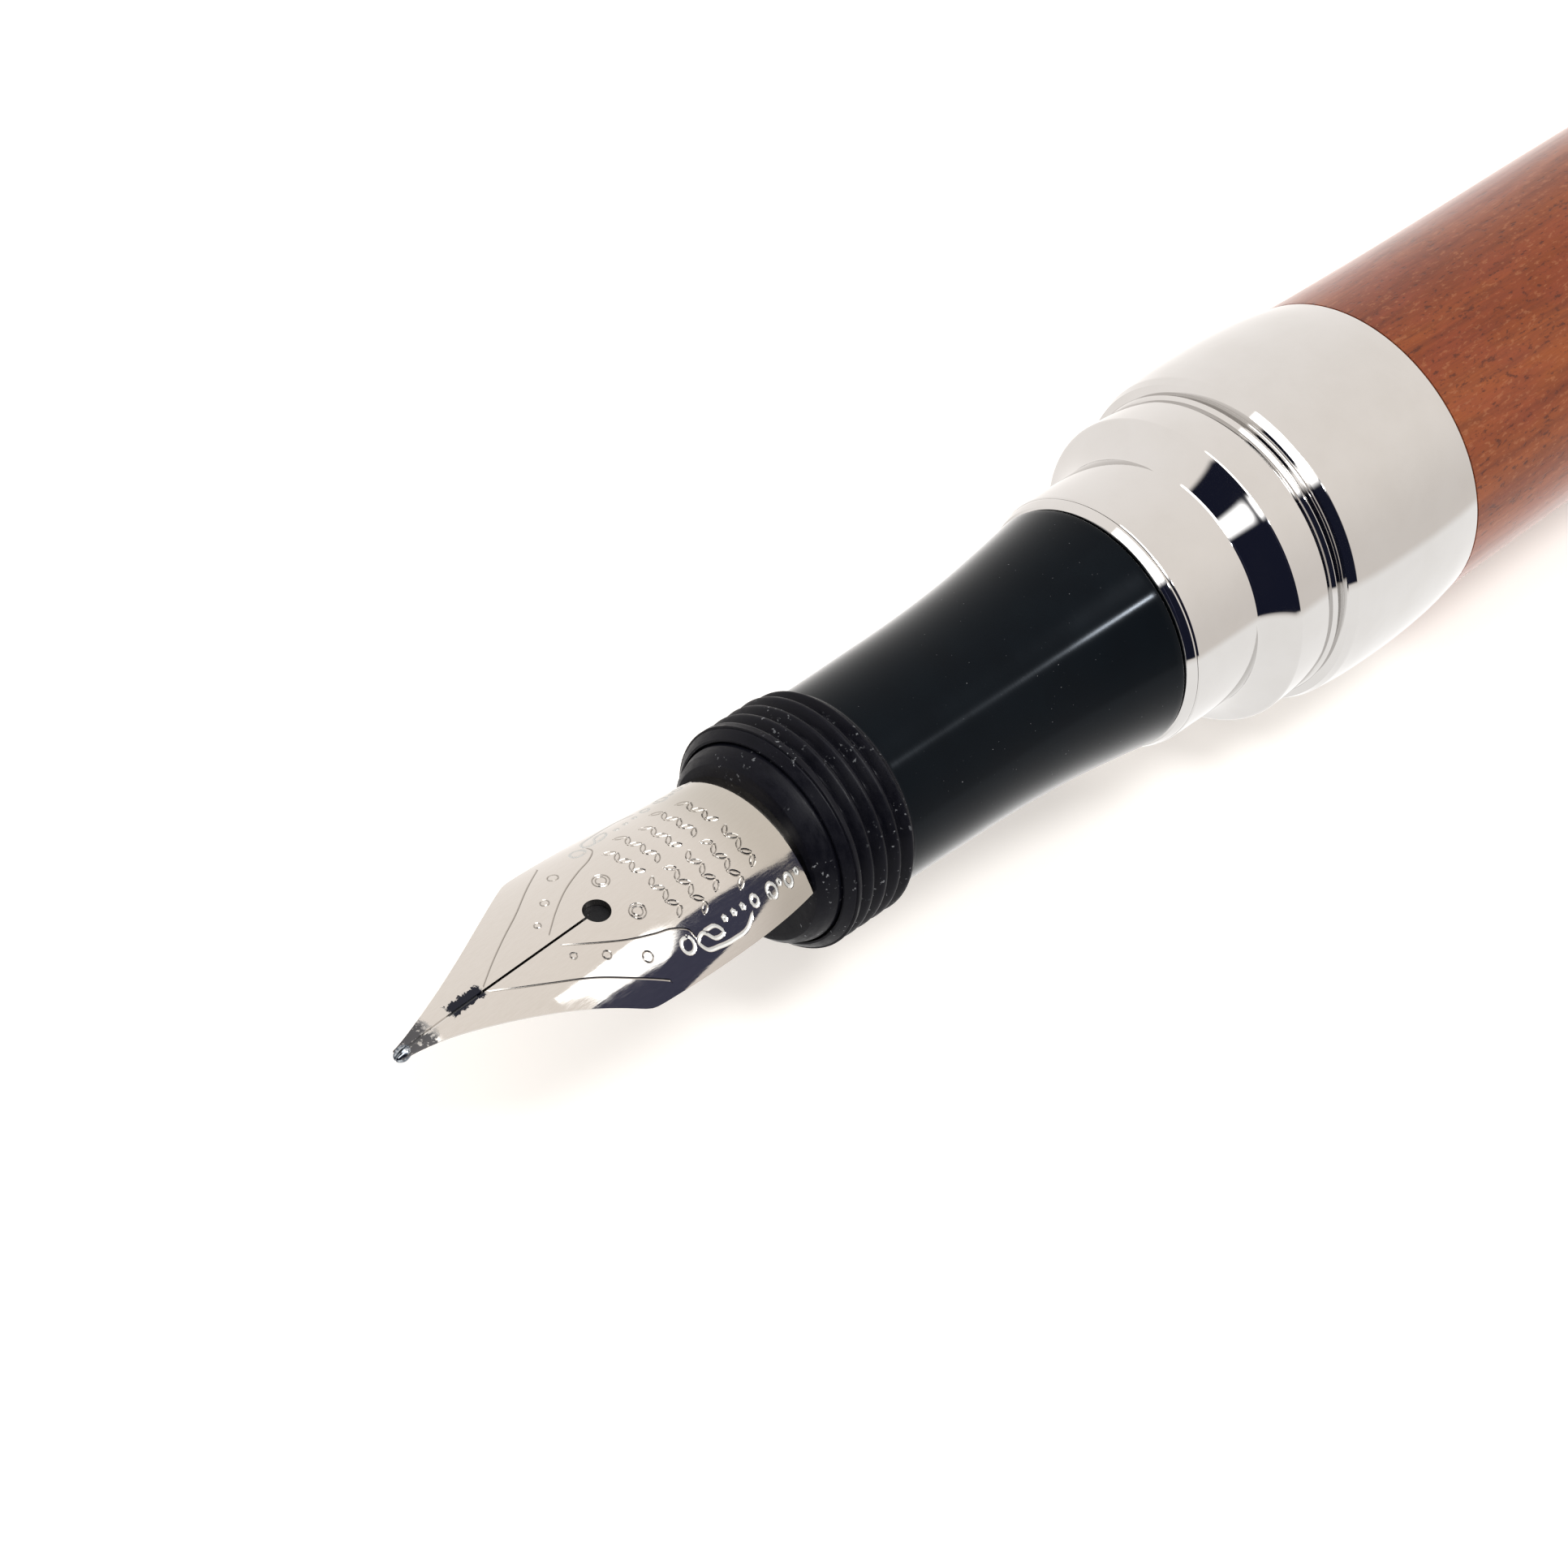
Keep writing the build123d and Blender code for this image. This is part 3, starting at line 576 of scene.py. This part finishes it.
def nib_normal(x, y):
    """The upper surface's unit normals, from its slope across h on each side."""
    h = 0.02
    slope_x = (nib_height(x + h, y) - nib_height(x - h, y)) / (2 * h)
    slope_y = (nib_height(x, y + h) - nib_height(x, y - h)) / (2 * h)
    n = np.column_stack([-slope_x, -slope_y, np.ones_like(slope_x)])
    return n / np.linalg.norm(n, axis=1)[:, None]


def half_width(x):
    """Half the nib's width: flanks that widen to a rounded shoulder, then draw in to the face."""
    reach = np.maximum(0.0, (x - NIB_TIP) / (NIB_TAPER_END - NIB_TIP))
    flank = NIB_FULLNESS * reach**NIB_FLARE
    rounded = (flank + 1 - np.sqrt((flank - 1)**2 + NIB_SHOULDER_ROUNDING**2)) / 2
    drawn_in = np.maximum(0.0, (x - NIB_SHOULDER) / (NIB_FACE - NIB_SHOULDER))
    return (NIB_TIP_HALF + (NIB_SHOULDER_HALF - NIB_TIP_HALF) * rounded
            - (NIB_SHOULDER_HALF - NIB_FACE_HALF) * drawn_in**2)


def scroll(centre, radius, start, turns, inner=0.55, steps=26):
    """A small spiral that winds inwards to inner times its first radius."""
    t = np.linspace(0, 1, steps)
    a = math.radians(start) + turns * 2 * math.pi * t
    r = radius * (1 - (1 - inner) * t)
    return np.column_stack([centre[0] + r * np.cos(a), centre[1] + r * np.sin(a)])


def leaf(centre, length, width, tilt):
    """A pointed leaf, tilted in degrees from X."""
    u = np.linspace(-1, 1, 9)
    side = width * (1 - u**2)
    lens = np.vstack([np.column_stack([u * length, side]), np.column_stack([u * length, -side])[-2::-1]])
    c, s = math.cos(math.radians(tilt)), math.sin(math.radians(tilt))
    return lens @ np.array([(c, s), (-s, c)]) + centre


def circle(centre, radius, steps=20):
    a = np.linspace(0, 2 * math.pi, steps + 1)
    return np.column_stack([centre[0] + radius * np.cos(a), centre[1] + radius * np.sin(a)])


def ornament():
    """Decoration on one half of the nib, y above 0, as (line, half width): fine sprays from the slit,
    etched scrolls and beads along the flank, ring marks, and rows of leaves in front of the housing."""
    fine = [
        smooth_run([(-42.9, 0.2), (-41.8, 0.85), (-40.4, 1.6), (-39.0, 2.3), (-37.3, 3.3),
                    (-35.9, 4.05)], 40),
        smooth_run([(-38.9, 0.4), (-37.7, 1.2), (-36.4, 1.9), (-35.3, 2.3), (-34.3, 2.6), (-33.75, 3.0),
                    (-33.7, 3.4)], 40),
        circle((-37.7, 1.9), 0.2, 12),
        circle((-36.2, 2.9), 0.24, 14),
        circle((-38.9, 1.1), 0.16, 12),
    ]
    for row, x in enumerate((-33.6, -32.5, -31.4, -30.3, -29.2)):
        for k in range(5 + row % 2):
            tilt = 40 if (k + row) % 2 else -40
            fine.append(leaf((x, 0.38 + 0.44 * k), 0.3, 0.11, tilt))
    fine += [circle((-35.15, 1.12), 0.38, 24), circle((-35.15, 1.12), 0.24, 16)]
    etched = [
        scroll((-34.25, 3.36), 0.36, -60, 1.05, 0.75),
        smooth_run([(-33.1, 3.28), (-32.5, 3.36), (-32.3, 3.66), (-32.8, 3.72), (-33.3, 3.3), (-33.7, 3.5),
                    (-33.5, 3.84), (-32.8, 4.0), (-31.9, 4.05), (-31.1, 3.98), (-30.6, 3.72)], 60),
        circle((-30.15, 3.36), 0.19, 12),
        scroll((-29.1, 3.42), 0.3, 150, 1.1, 0.6),
        circle((-28.1, 3.4), 0.2, 12),
    ]
    etched += [circle((x, 3.3), 0.09, 8) for x in (-31.95, -31.4, -30.85, -28.6, -27.55)]
    return [(line, CUT_HALF) for line in fine] + [(line, ETCH_HALF) for line in etched]


def resampled(line, spacing=0.11):
    """The line's points at even spacing."""
    d = np.concatenate([[0], np.cumsum(np.hypot(*np.diff(line, axis=0).T))])
    t = np.linspace(0, d[-1], max(3, int(d[-1] / spacing) + 1))
    return np.column_stack([np.interp(t, d, line[:, 0]), np.interp(t, d, line[:, 1])])


def nib_outline():
    """The nib's edge seen from above, as a closed run of points."""
    x = np.concatenate([np.linspace(NIB_TIP, -46.5, 8, endpoint=False), np.linspace(-46.5, -26.3, 74)])
    edge = np.column_stack([x, half_width(x)])
    tang = np.array([(-25.6, 3.5), (-24.6, 2.6), (-22.0, 2.6), (-19.0, 2.6), (NIB_TANG_END, 2.6),
                     (NIB_TANG_END, 1.3)])
    half = np.vstack([edge, tang])
    slit = np.array([(NIB_TIP, SLIT_HALF * 1.5)])
    upper = np.vstack([slit, half])
    return np.vstack([upper, upper[::-1] * (1, -1)])


def inside(points, ring):
    """Which points lie in a closed ring."""
    x, y = points.T
    hit = np.zeros(len(points), bool)
    for (x0, y0), (x1, y1) in zip(ring, np.roll(ring, -1, axis=0)):
        crosses = (y0 > y) != (y1 > y)
        at = x0 + (y - y0) * (x1 - x0) / (y1 - y0 if y1 != y0 else 1e-12)
        hit ^= crosses & (x < at)
    return hit


def nearest_gap(points, others):
    """The distance from each point to the nearest of the others."""
    return np.min(np.hypot(points[:, None, 0] - others[None, :, 0],
                           points[:, None, 1] - others[None, :, 1]), axis=1)


def nib_grid(ring, cut_points, step=0.3, margin=0.13):
    """Staggered points that fill the nib's plan, clear of its edges and of the engraving."""
    gx, gy = np.meshgrid(np.arange(-48, -16.4, step), np.arange(-4.8, 4.8, step))
    gx[::2] += step / 2
    grid = np.column_stack([gx.ravel(), gy.ravel()])
    grid = grid[inside(grid, ring)]
    grid = grid[np.hypot(grid[:, 0] - HOLE_X, grid[:, 1]) > HOLE_R + 0.1]
    grid = grid[(np.abs(grid[:, 1]) > 2 * SLIT_HALF) | (grid[:, 0] > HOLE_X)]
    grid = grid[nearest_gap(grid, ring) > margin]
    return grid[nearest_gap(grid, cut_points) > margin]


def nib_plan(ring):
    """The nib's plan in triangles that follow its edge, hole, slit and engraving: the points, what is
    cut there (PLAIN, FINE_CUT or BROAD_CUT), and the triangles."""
    points, edges, cut = [], [], []

    def add_run(run, closed=False, kind=PLAIN):
        first = len(points)
        points.extend(run.tolist())
        cut.extend([kind] * len(run))
        edges.extend((first + i, first + i + 1) for i in range(len(run) - 1))
        if closed:
            edges.append((first + len(run) - 1, first))

    add_run(ring, closed=True)
    add_run(circle((HOLE_X, 0), HOLE_R, 40)[:-1], closed=True)
    slit_x = np.linspace(NIB_TIP + 0.01, HOLE_X - math.sqrt(HOLE_R**2 - SLIT_HALF**2), 60)
    for side in (-1, 1):
        add_run(np.column_stack([slit_x, np.full(len(slit_x), side * SLIT_HALF)]))
    middles = []
    for line, half in ornament():
        for side in (-1, 1):
            mirrored = resampled(line) * (1, side)
            along = np.gradient(mirrored, axis=0)
            along /= np.linalg.norm(along, axis=1)[:, None]
            off = np.column_stack([-along[:, 1], along[:, 0]]) * half
            for shift in (-1, 1):
                add_run(mirrored + off * shift)
            add_run(mirrored, kind=FINE_CUT if half == CUT_HALF else BROAD_CUT)
            middles.append(mirrored)
    grid = nib_grid(ring, np.vstack(middles))
    points.extend(grid.tolist())
    cut.extend([PLAIN] * len(grid))

    flat, _, tris, origin, _, _ = geometry.delaunay_2d_cdt([Vector(p) for p in points], edges, [], 0, 1e-5)
    flat = np.array([tuple(v) for v in flat])
    tris = np.array([tuple(t) for t in tris])
    cut = np.array([max((cut[o] for o in sources), default=PLAIN) for sources in origin])
    middle = flat[tris].mean(axis=1)
    keep = inside(middle, ring) & (np.hypot(middle[:, 0] - HOLE_X, middle[:, 1]) > HOLE_R * 0.995)
    keep &= ~((np.abs(middle[:, 1]) < SLIT_HALF) & (middle[:, 0] < HOLE_X))
    tris = tris[keep]
    used = np.unique(tris)
    back = np.full(len(flat), -1)
    back[used] = np.arange(len(used))
    flat, cut, tris = flat[used], cut[used], back[tris]
    side_a = flat[tris[:, 1]] - flat[tris[:, 0]]
    side_b = flat[tris[:, 2]] - flat[tris[:, 0]]
    flip = side_a[:, 0] * side_b[:, 1] - side_a[:, 1] * side_b[:, 0] < 0
    tris[flip] = tris[flip][:, ::-1]
    return flat, cut, tris


def sheet_faces(tris, count):
    """Faces over, under and round a sheet whose under side repeats its count points."""
    over = tris.tolist()
    directed = {e for a, b, c in over for e in ((a, b), (b, c), (c, a))}
    rim = [(a, b) for t in over for a, b in zip(t, t[1:] + t[:1]) if (b, a) not in directed]
    return over + [(c + count, b + count, a + count) for a, b, c in over] + [
        (a, a + count, b + count, b) for a, b in rim]


def shade_sheet(obj, normal, cut, first_rim_face):
    """Smooth normals from the true surface, and flat ones in the engraving and round the rim."""
    count = len(normal)
    loops = np.zeros(len(obj.data.loops), np.int32)
    obj.data.loops.foreach_get("vertex_index", loops)
    shade = np.zeros((len(loops), 3))
    for face in obj.data.polygons:
        corners = range(face.loop_start, face.loop_start + face.loop_total)
        engraved = any(loops[j] < count and cut[loops[j]] for j in corners)
        for k in corners:
            v = loops[k]
            if face.index >= first_rim_face or engraved:
                shade[k] = face.normal
            else:
                shade[k] = normal[v] if v < count else -normal[v - count]
    obj.data.normals_split_custom_set(shade.tolist())


def make_nib():
    """The bent sheet with its slit, breather hole and engraving."""
    ring = nib_outline()
    flat, cut, tris = nib_plan(ring)
    count = len(flat)
    normal = nib_normal(flat[:, 0], flat[:, 1])
    surface = np.column_stack([flat, nib_height(flat[:, 0], flat[:, 1])])
    top = surface - normal * (GROOVE_DEPTH * (cut > PLAIN))[:, None]
    thickening = np.clip(nearest_gap(flat, ring) / NIB_EDGE_REACH, 0, 1) ** NIB_EDGE_FALL
    bottom = surface - normal * (NIB_EDGE_SHEET + (NIB_SHEET - NIB_EDGE_SHEET) * thickening)[:, None]
    obj = piece("engraved_nib", np.vstack([top, bottom]), sheet_faces(tris, count), "section",
                nib_steel, ["nib"], sharp=math.radians(40))
    for name, kind in (("engraved", FINE_CUT), ("etched", BROAD_CUT)):
        mask = obj.data.attributes.new(name, "FLOAT", "POINT")
        mask.data.foreach_set("value", np.concatenate([cut == kind, np.zeros(count)]).astype(np.float32))
    shade_sheet(obj, normal, cut, 2 * len(tris))


make_nib()


def make_pellet():
    """The hard tip: two rounded halves, one on each tine."""
    centre_x, centre_z = -47.66, 1.76
    half_long, half_wide, half_high = 0.42, 0.3, 0.32
    slit_half = 0.045
    rise = 0.15                             # for each millimetre back from the tip
    rows, columns = 20, 32
    vertices, faces = [], []
    for side in (-1, 1):
        base = len(vertices)
        for i in range(rows + 1):
            a = math.pi * i / rows
            for k in range(columns):
                b = math.pi * (k / (columns - 1) - 0.5)
                x = half_long * math.cos(a)
                y = half_wide * math.sin(a) * math.cos(b) + slit_half
                z = half_high * math.sin(a) * math.sin(b) + rise * x
                vertices.append((centre_x + x, side * y, centre_z + z))
        for i in range(rows):
            for k in range(columns - 1):
                quad = (base + i * columns + k, base + i * columns + k + 1,
                        base + (i + 1) * columns + k + 1, base + (i + 1) * columns + k)
                faces.append(quad if side < 0 else quad[::-1])
        for i in range(rows):
            a, b = base + i * columns, base + i * columns + columns - 1
            quad = (a, a + columns, b + columns, b)
            faces.append(quad if side < 0 else quad[::-1])
    piece("tip_pellet", vertices, faces, "section", tipping, ["nib_tipping"])


make_pellet()


# ---------------------------------------------------------------- chromed collars
def make_collars():
    """The trim ring, coupler, bead and bell."""
    lathe("trim_ring_chrome", outline(
        (-4.67, 5.8), (-4.58, 6.09), (-4.26, 6.235), (-4.09, 6.25), (-4.09, 4.83), (-4.67, 4.83)),
        "trim_ring", chrome, ["section_trim_ring"])
    foot = arc_run((0.011, 6.65), 0.35, -90, -62, 6)
    cove = arc_run((-1.14, 8.63), 2.64, -60, -24.5, 24)
    brow = arc_run((1.5, 7.45), 0.25, 156, 92, 10)
    lathe("coupler_chrome", outline(
        (-4.07, 6.22), (-4.05, 6.27), (-3.98, 6.295), foot, cove, brow, (3.5, 7.61, 0.07),
        (3.58, 7.46, 0.05), (3.68, 7.42), (3.68, 5.6), (14.0, 5.6),
        (14.0, 5.95), (21.5, 5.95), (21.5, 4.3), (6.8, 4.3), (6.8, 4.83), (-4.07, 4.83)),
        "barrel", chrome, ["barrel_coupler"])
    lathe("bead_chrome", outline(
        (3.7, 7.42), (3.76, 7.6), (3.93, 7.68), (4.02, 7.69), (4.12, 7.64), (4.25, 7.45), (4.25, 5.62),
        (3.69, 5.62)),
        "barrel", chrome, ["bead_ring"])
    bell = smooth_run([(4.8, 8.22), (6.2, 8.33), (7.6, 8.36), (10.3, 8.3), (12.3, 8.12), (13.9, 7.86)], 60)
    lathe("bell_chrome", outline(
        (4.27, 7.4), (4.28, 7.76), (4.38, 8.06), (4.74, 8.2), bell, (13.99, 7.8, 0.05),
        (14.0, 5.62), (4.27, 5.62)), "barrel", chrome, ["bell_collar"])


make_collars()


# ---------------------------------------------------------------- wooden barrel and tail
def make_barrel():
    """The wood, the ring behind it and the boss that the cap posts on."""
    swell = smooth_run([(14.02, 7.84), (17.0, 7.76), (20.0, 7.7), (35.0, 7.58), (53.0, 7.34),
                        (69.98, 6.95)], 64)
    lathe("barrel_hardwood", outline(swell, (69.98, 6.37), (14.02, 6.37)), "barrel", wood,
          ["barrel_wood"])
    lathe("tail_ring_chrome", outline(
        (70.02, 6.9), arc_run((71.9, 4.55), 2.8, 126, 54, 20), (73.8, 6.7, 0.1), (73.8, 3.0), (70.02, 3.0)),
        "barrel", chrome, ["end_ring"], COARSE)
    lathe("tail_boss", outline(
        (70.0, 1.27), (70.0, 2.98), (73.82, 2.98), (73.82, 6.4, 0.1), (77.3, 6.4, 0.08), (77.3, 5.88, 0.08),
        (77.9, 5.88, 0.08), (77.9, 6.4, 0.08), (84.6, 6.4, 0.5), (85.8, 5.5, 0.5), (85.8, 2.3, 0.1),
        (83.4, 2.3), (83.4, 1.27)), "barrel", black_plastic, ["posting_boss"], COARSE)
    lathe("tail_o_ring", arc_run((77.6, 6.175), 0.275, 0, 348, 29), "barrel", rubber,
          ["posting_oring"], COARSE)


make_barrel()


# ---------------------------------------------------------------- cap
CAP_MOUTH = 74.1


def make_cap():
    """The cap's band, wood, domed end and inlay."""
    lathe("cap_band_chrome", outline(
        (CAP_MOUTH, 6.6, 0.1), arc_run((CAP_MOUTH + 0.45, 8.03), 0.45, 180, 100, 10), (75.5, 8.5, 0.2),
        (78.95, 8.5, 0.08), (79.1, 8.27, 0.05), (79.45, 8.27, 0.05), (79.6, 8.5, 0.08), (80.6, 8.5, 0.3),
        (81.08, 8.25, 0.08), (81.08, 6.95), (76.1, 6.95), (76.1, 6.48), (CAP_MOUTH, 6.48)),
        "cap", chrome, ["cap_band"])
    swell = smooth_run([(81.12, 8.22), (86.0, 8.28), (95.0, 8.3), (104.0, 8.23), (113.1, 8.08),
                        (121.0, 7.85), (129.08, 7.55)], 64)
    lathe("cap_hardwood", outline(swell, (129.08, 6.97), (81.12, 6.97)), "cap", wood, ["cap_wood"])
    dome = smooth_run([(131.5, 7.86), (132.5, 7.62), (133.6, 7.1), (134.6, 6.4), (135.5, 5.4), (136.1, 4.2),
                       (136.3, 3.3)], 40)
    lathe("cap_top_chrome", outline(
        (126.1, 0), (126.1, 2.0), (130.12, 2.0), (130.12, 7.6, 0.15), (130.5, 7.9, 0.15), dome,
        (136.3, 3.05, 0.05), (135.5, 3.05), (135.5, 0)), "cap", chrome, ["cap_top"])
    lathe("cap_inlay_button", outline(
        (135.52, 0), (135.52, 3.0), (136.3, 3.0, 0.15), (136.45, 2.6), (136.55, 1.8), (136.6, 0)),
        "cap", inlay, ["cap_inlay"], COARSE)


make_cap()


# ---------------------------------------------------------------- CAD nodes that keep their shape
KEPT = {
    "feed": feed_plastic,
    "barrel_tube": brass,
    "rear_bushing": brass,
    "boss_screw": steel,
    "converter_reservoir": clear_plastic,
    "converter_collar": chrome,
    "converter_guide": black_plastic,
    "agitator_ball": steel,
    "piston_seal": rubber,
    "piston_rod": black_plastic,
    "converter_knob": black_plastic,
    "cap_tube": brass,
    "cap_thread_insert": black_plastic,
    "cap_liner": black_plastic,
    "cap_end_plug": brass,
    "clip_ring": chrome,
    "clip_arm": chrome,
}
for node, look in KEPT.items():
    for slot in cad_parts[node].material_slots:
        slot.material = look


# ---------------------------------------------------------------- floor, light and camera
FLOOR_Z = cad_box[0].z - 0.00002

# the camera looks this far round from +X towards +Y and this far down, and is rolled this far
CAMERA_ROUND, CAMERA_DOWN, CAMERA_ROLL = (math.radians(a) for a in (36.472, 45.602, 10.841))
CAMERA_PLACE = Vector((-174.93, -110.75, 193.43)) * MM
AHEAD = Vector((math.cos(CAMERA_DOWN) * math.cos(CAMERA_ROUND),
                math.cos(CAMERA_DOWN) * math.sin(CAMERA_ROUND), -math.sin(CAMERA_DOWN)))


def make_floor():
    """White paper with a painted shadow: a little darker beside the pen, as the camera sees it."""
    bpy.ops.mesh.primitive_plane_add(size=3.0, location=(0.04, 0, FLOOR_Z))
    floor = bpy.context.object
    floor.name = "studio_floor"
    floor.visible_glossy = False            # the room's own lower half stands in for it

    def build(g, s):
        place = g.place()
        fibre = g.noise(place, 0.8, 4.0)
        paper = g.mix(fibre, colour(0.905, 0.892, 0.876), colour(0.93, 0.918, 0.905))
        split = g.node("ShaderNodeSeparateXYZ")
        g.put(split.inputs[0], place)
        away = g.math("ABSOLUTE", split.outputs[1])
        # painted shadow: the paper is darkened beside the pen, for camera rays only
        beside = g.times(g.ramp(away, 6.0, 30.0, 1.0, 0.0), g.ramp(split.outputs[0], -105.0, -80.0))
        to_eye = g.node("ShaderNodeLightPath").outputs["Is Camera Ray"]
        g.put(s.inputs["Base Color"], g.mix(g.times(beside, to_eye), paper, colour(0.855, 0.83, 0.805)))
        g.put(s.inputs["Emission Strength"], to_eye)

    floor.data.materials.append(material("white_paper", build, Roughness=0.9, Specular_IOR_Level=0.1,
                                         Emission_Color=colour(0.32, 0.3, 0.28)))


def make_world():
    """A bright plain studio. Polished metal also mirrors its softbox and one dark flag."""
    world = bpy.data.worlds.new("bright_studio")
    world.use_nodes = True
    bpy.context.scene.world = world
    g = Graph(world.node_tree)
    direction = g.node("ShaderNodeTexCoord").outputs["Generated"]
    split = g.node("ShaderNodeSeparateXYZ")
    g.put(split.inputs[0], direction)
    x, y, z = split.outputs

    # Each direction is named by the polished surface that mirrors it to the picture's camera: that
    # surface's turn about the pen, from +Z towards -Y, and its lean towards the nib, in degrees.
    side, height = g.plus(y, -AHEAD.y), g.plus(z, -AHEAD.z)
    turn = g.times(g.math("ARCTAN2", g.times(side, -1.0), height), 180 / math.pi)
    across = g.math("SQRT", g.plus(g.times(side, side), g.times(height, height)))
    lean = g.times(g.math("ARCTAN2", g.math("SUBTRACT", AHEAD.x, x), across), 180 / math.pi)

    room = g.mix(g.ramp(turn, -35.0, 32.0), colour(1.29, 1.24, 1.2), colour(1.2, 1.13, 1.065))
    room = g.mix(g.ramp(turn, 30.0, 62.0), room, colour(0.98, 0.92, 0.87))
    room = g.mix(g.ramp(turn, 66.0, 70.0), room, colour(1.27, 1.25, 1.23))

    # a dark flag beside the pen and in front of it, and the softbox overhead with its bright end
    beside = g.times(g.band(turn, 31.0, 67.0, 0.6), g.ramp(lean, 6.0, 8.0))
    in_front = g.times(g.band(turn, 6.0, 67.0, 1.5), g.ramp(lean, 26.0, 28.0))
    room = g.mix(g.math("MAXIMUM", beside, in_front), room, colour(0.012, 0.014, 0.03))
    overhead = g.times(g.band(turn, 2.0, 31.0, 1.0), g.band(lean, 10.0, 25.0, 1.0))
    bright_end = g.times(g.band(turn, 24.0, 31.0, 2.5), g.band(lean, 10.0, 58.0, 5.0))
    room = g.mix(g.math("MAXIMUM", overhead, bright_end), room, colour(4.2, 4.2, 4.2))

    mirrored = g.node("ShaderNodeBackground")
    g.put(mirrored.inputs["Color"], room)
    plain = g.node("ShaderNodeBackground")
    plain.inputs["Color"].default_value = colour(1.0, 0.985, 0.965)
    plain.inputs["Strength"].default_value = 1.12
    choose = g.node("ShaderNodeMixShader")
    g.put(choose.inputs[0], g.node("ShaderNodeLightPath").outputs["Is Glossy Ray"])
    g.put(choose.inputs[1], plain.outputs[0])
    g.put(choose.inputs[2], mirrored.outputs[0])
    out = g.node("ShaderNodeOutputWorld")
    g.put(out.inputs["Surface"], choose.outputs[0])


def add_lamp(name, towards, distance, size, energy, glossy_only=False):
    """A round lamp in the given direction from the origin, facing it."""
    towards = Vector(towards).normalized()
    lamp = bpy.data.lights.new(name, "AREA")
    lamp.shape = "DISK"
    lamp.size = size
    lamp.energy = energy
    obj = bpy.data.objects.new(name, lamp)
    obj.location = towards * distance
    obj.rotation_mode = "QUATERNION"
    obj.rotation_quaternion = towards.to_track_quat("Z", "Y")
    if glossy_only:
        obj.visible_diffuse = False
        obj.visible_transmission = False
        obj.visible_volume_scatter = False
    bpy.context.scene.collection.objects.link(obj)


# the two cards above and behind the nib, as (y, z) corners: a white strip in front of a dark one
WHITE_CARD = [(-2.0, 78.0), (-8.0, 61.0), (-30.0, 42.0), (-24.0, 60.0)]
DARK_CARD = [(-19.0, 50.0), (-34.0, 12.0), (-46.0, 34.0), (-46.0, 52.0), (-24.0, 62.0)]


def make_card(name, x, ring, tone):
    """A glowing card in the plane at x, facing the nib, that only polished pieces mirror."""
    mesh = bpy.data.meshes.new(name)
    mesh.from_pydata([(x * MM, y * MM, z * MM) for y, z in ring], [], [range(len(ring))])
    card = bpy.data.objects.new(name, mesh)
    bpy.context.scene.collection.objects.link(card)
    glow = bpy.data.materials.new(name)
    glow.use_nodes = True
    g = Graph(glow.node_tree)
    light = g.node("ShaderNodeEmission")
    light.inputs["Color"].default_value = tone
    g.tree.links.new(light.outputs[0], g.node("ShaderNodeOutputMaterial").inputs["Surface"])
    mesh.materials.append(glow)
    card.visible_camera = False
    card.visible_diffuse = False
    card.visible_shadow = False
    card.visible_transmission = False


def make_camera():
    """Above and in front of the nib, about 46 degrees above the pen, with the nib nearest."""
    level = Vector((math.sin(CAMERA_ROUND), -math.cos(CAMERA_ROUND), 0.0))
    upright = level.cross(AHEAD)
    right = level * math.cos(CAMERA_ROLL) + upright * math.sin(CAMERA_ROLL)
    up = upright * math.cos(CAMERA_ROLL) - level * math.sin(CAMERA_ROLL)
    turned = Matrix((right, up, -AHEAD)).transposed()
    camera = bpy.data.cameras.new("camera")
    camera.sensor_width = 36.0
    camera.lens = 141.2
    camera.clip_start, camera.clip_end = 0.01, 10.0
    obj = bpy.data.objects.new("camera", camera)
    obj.matrix_world = Matrix.Translation(CAMERA_PLACE) @ turned.to_4x4()
    bpy.context.scene.collection.objects.link(obj)
    bpy.context.scene.camera = obj


make_floor()
make_world()
make_card("white_card", -6.2, WHITE_CARD, colour(2.8, 2.8, 2.8))
make_card("dark_card", -6.0, DARK_CARD, colour(0.07, 0.073, 0.12))
add_lamp("key_lamp", (0.1, -0.35, 0.93), 1.1, 0.35, 4.5)
add_lamp("glint_lamp", (0.3, -0.578, 0.759), 1.0, 0.035, 5.5, glossy_only=True)
make_camera()
bpy.context.scene.view_settings.view_transform = "Standard"
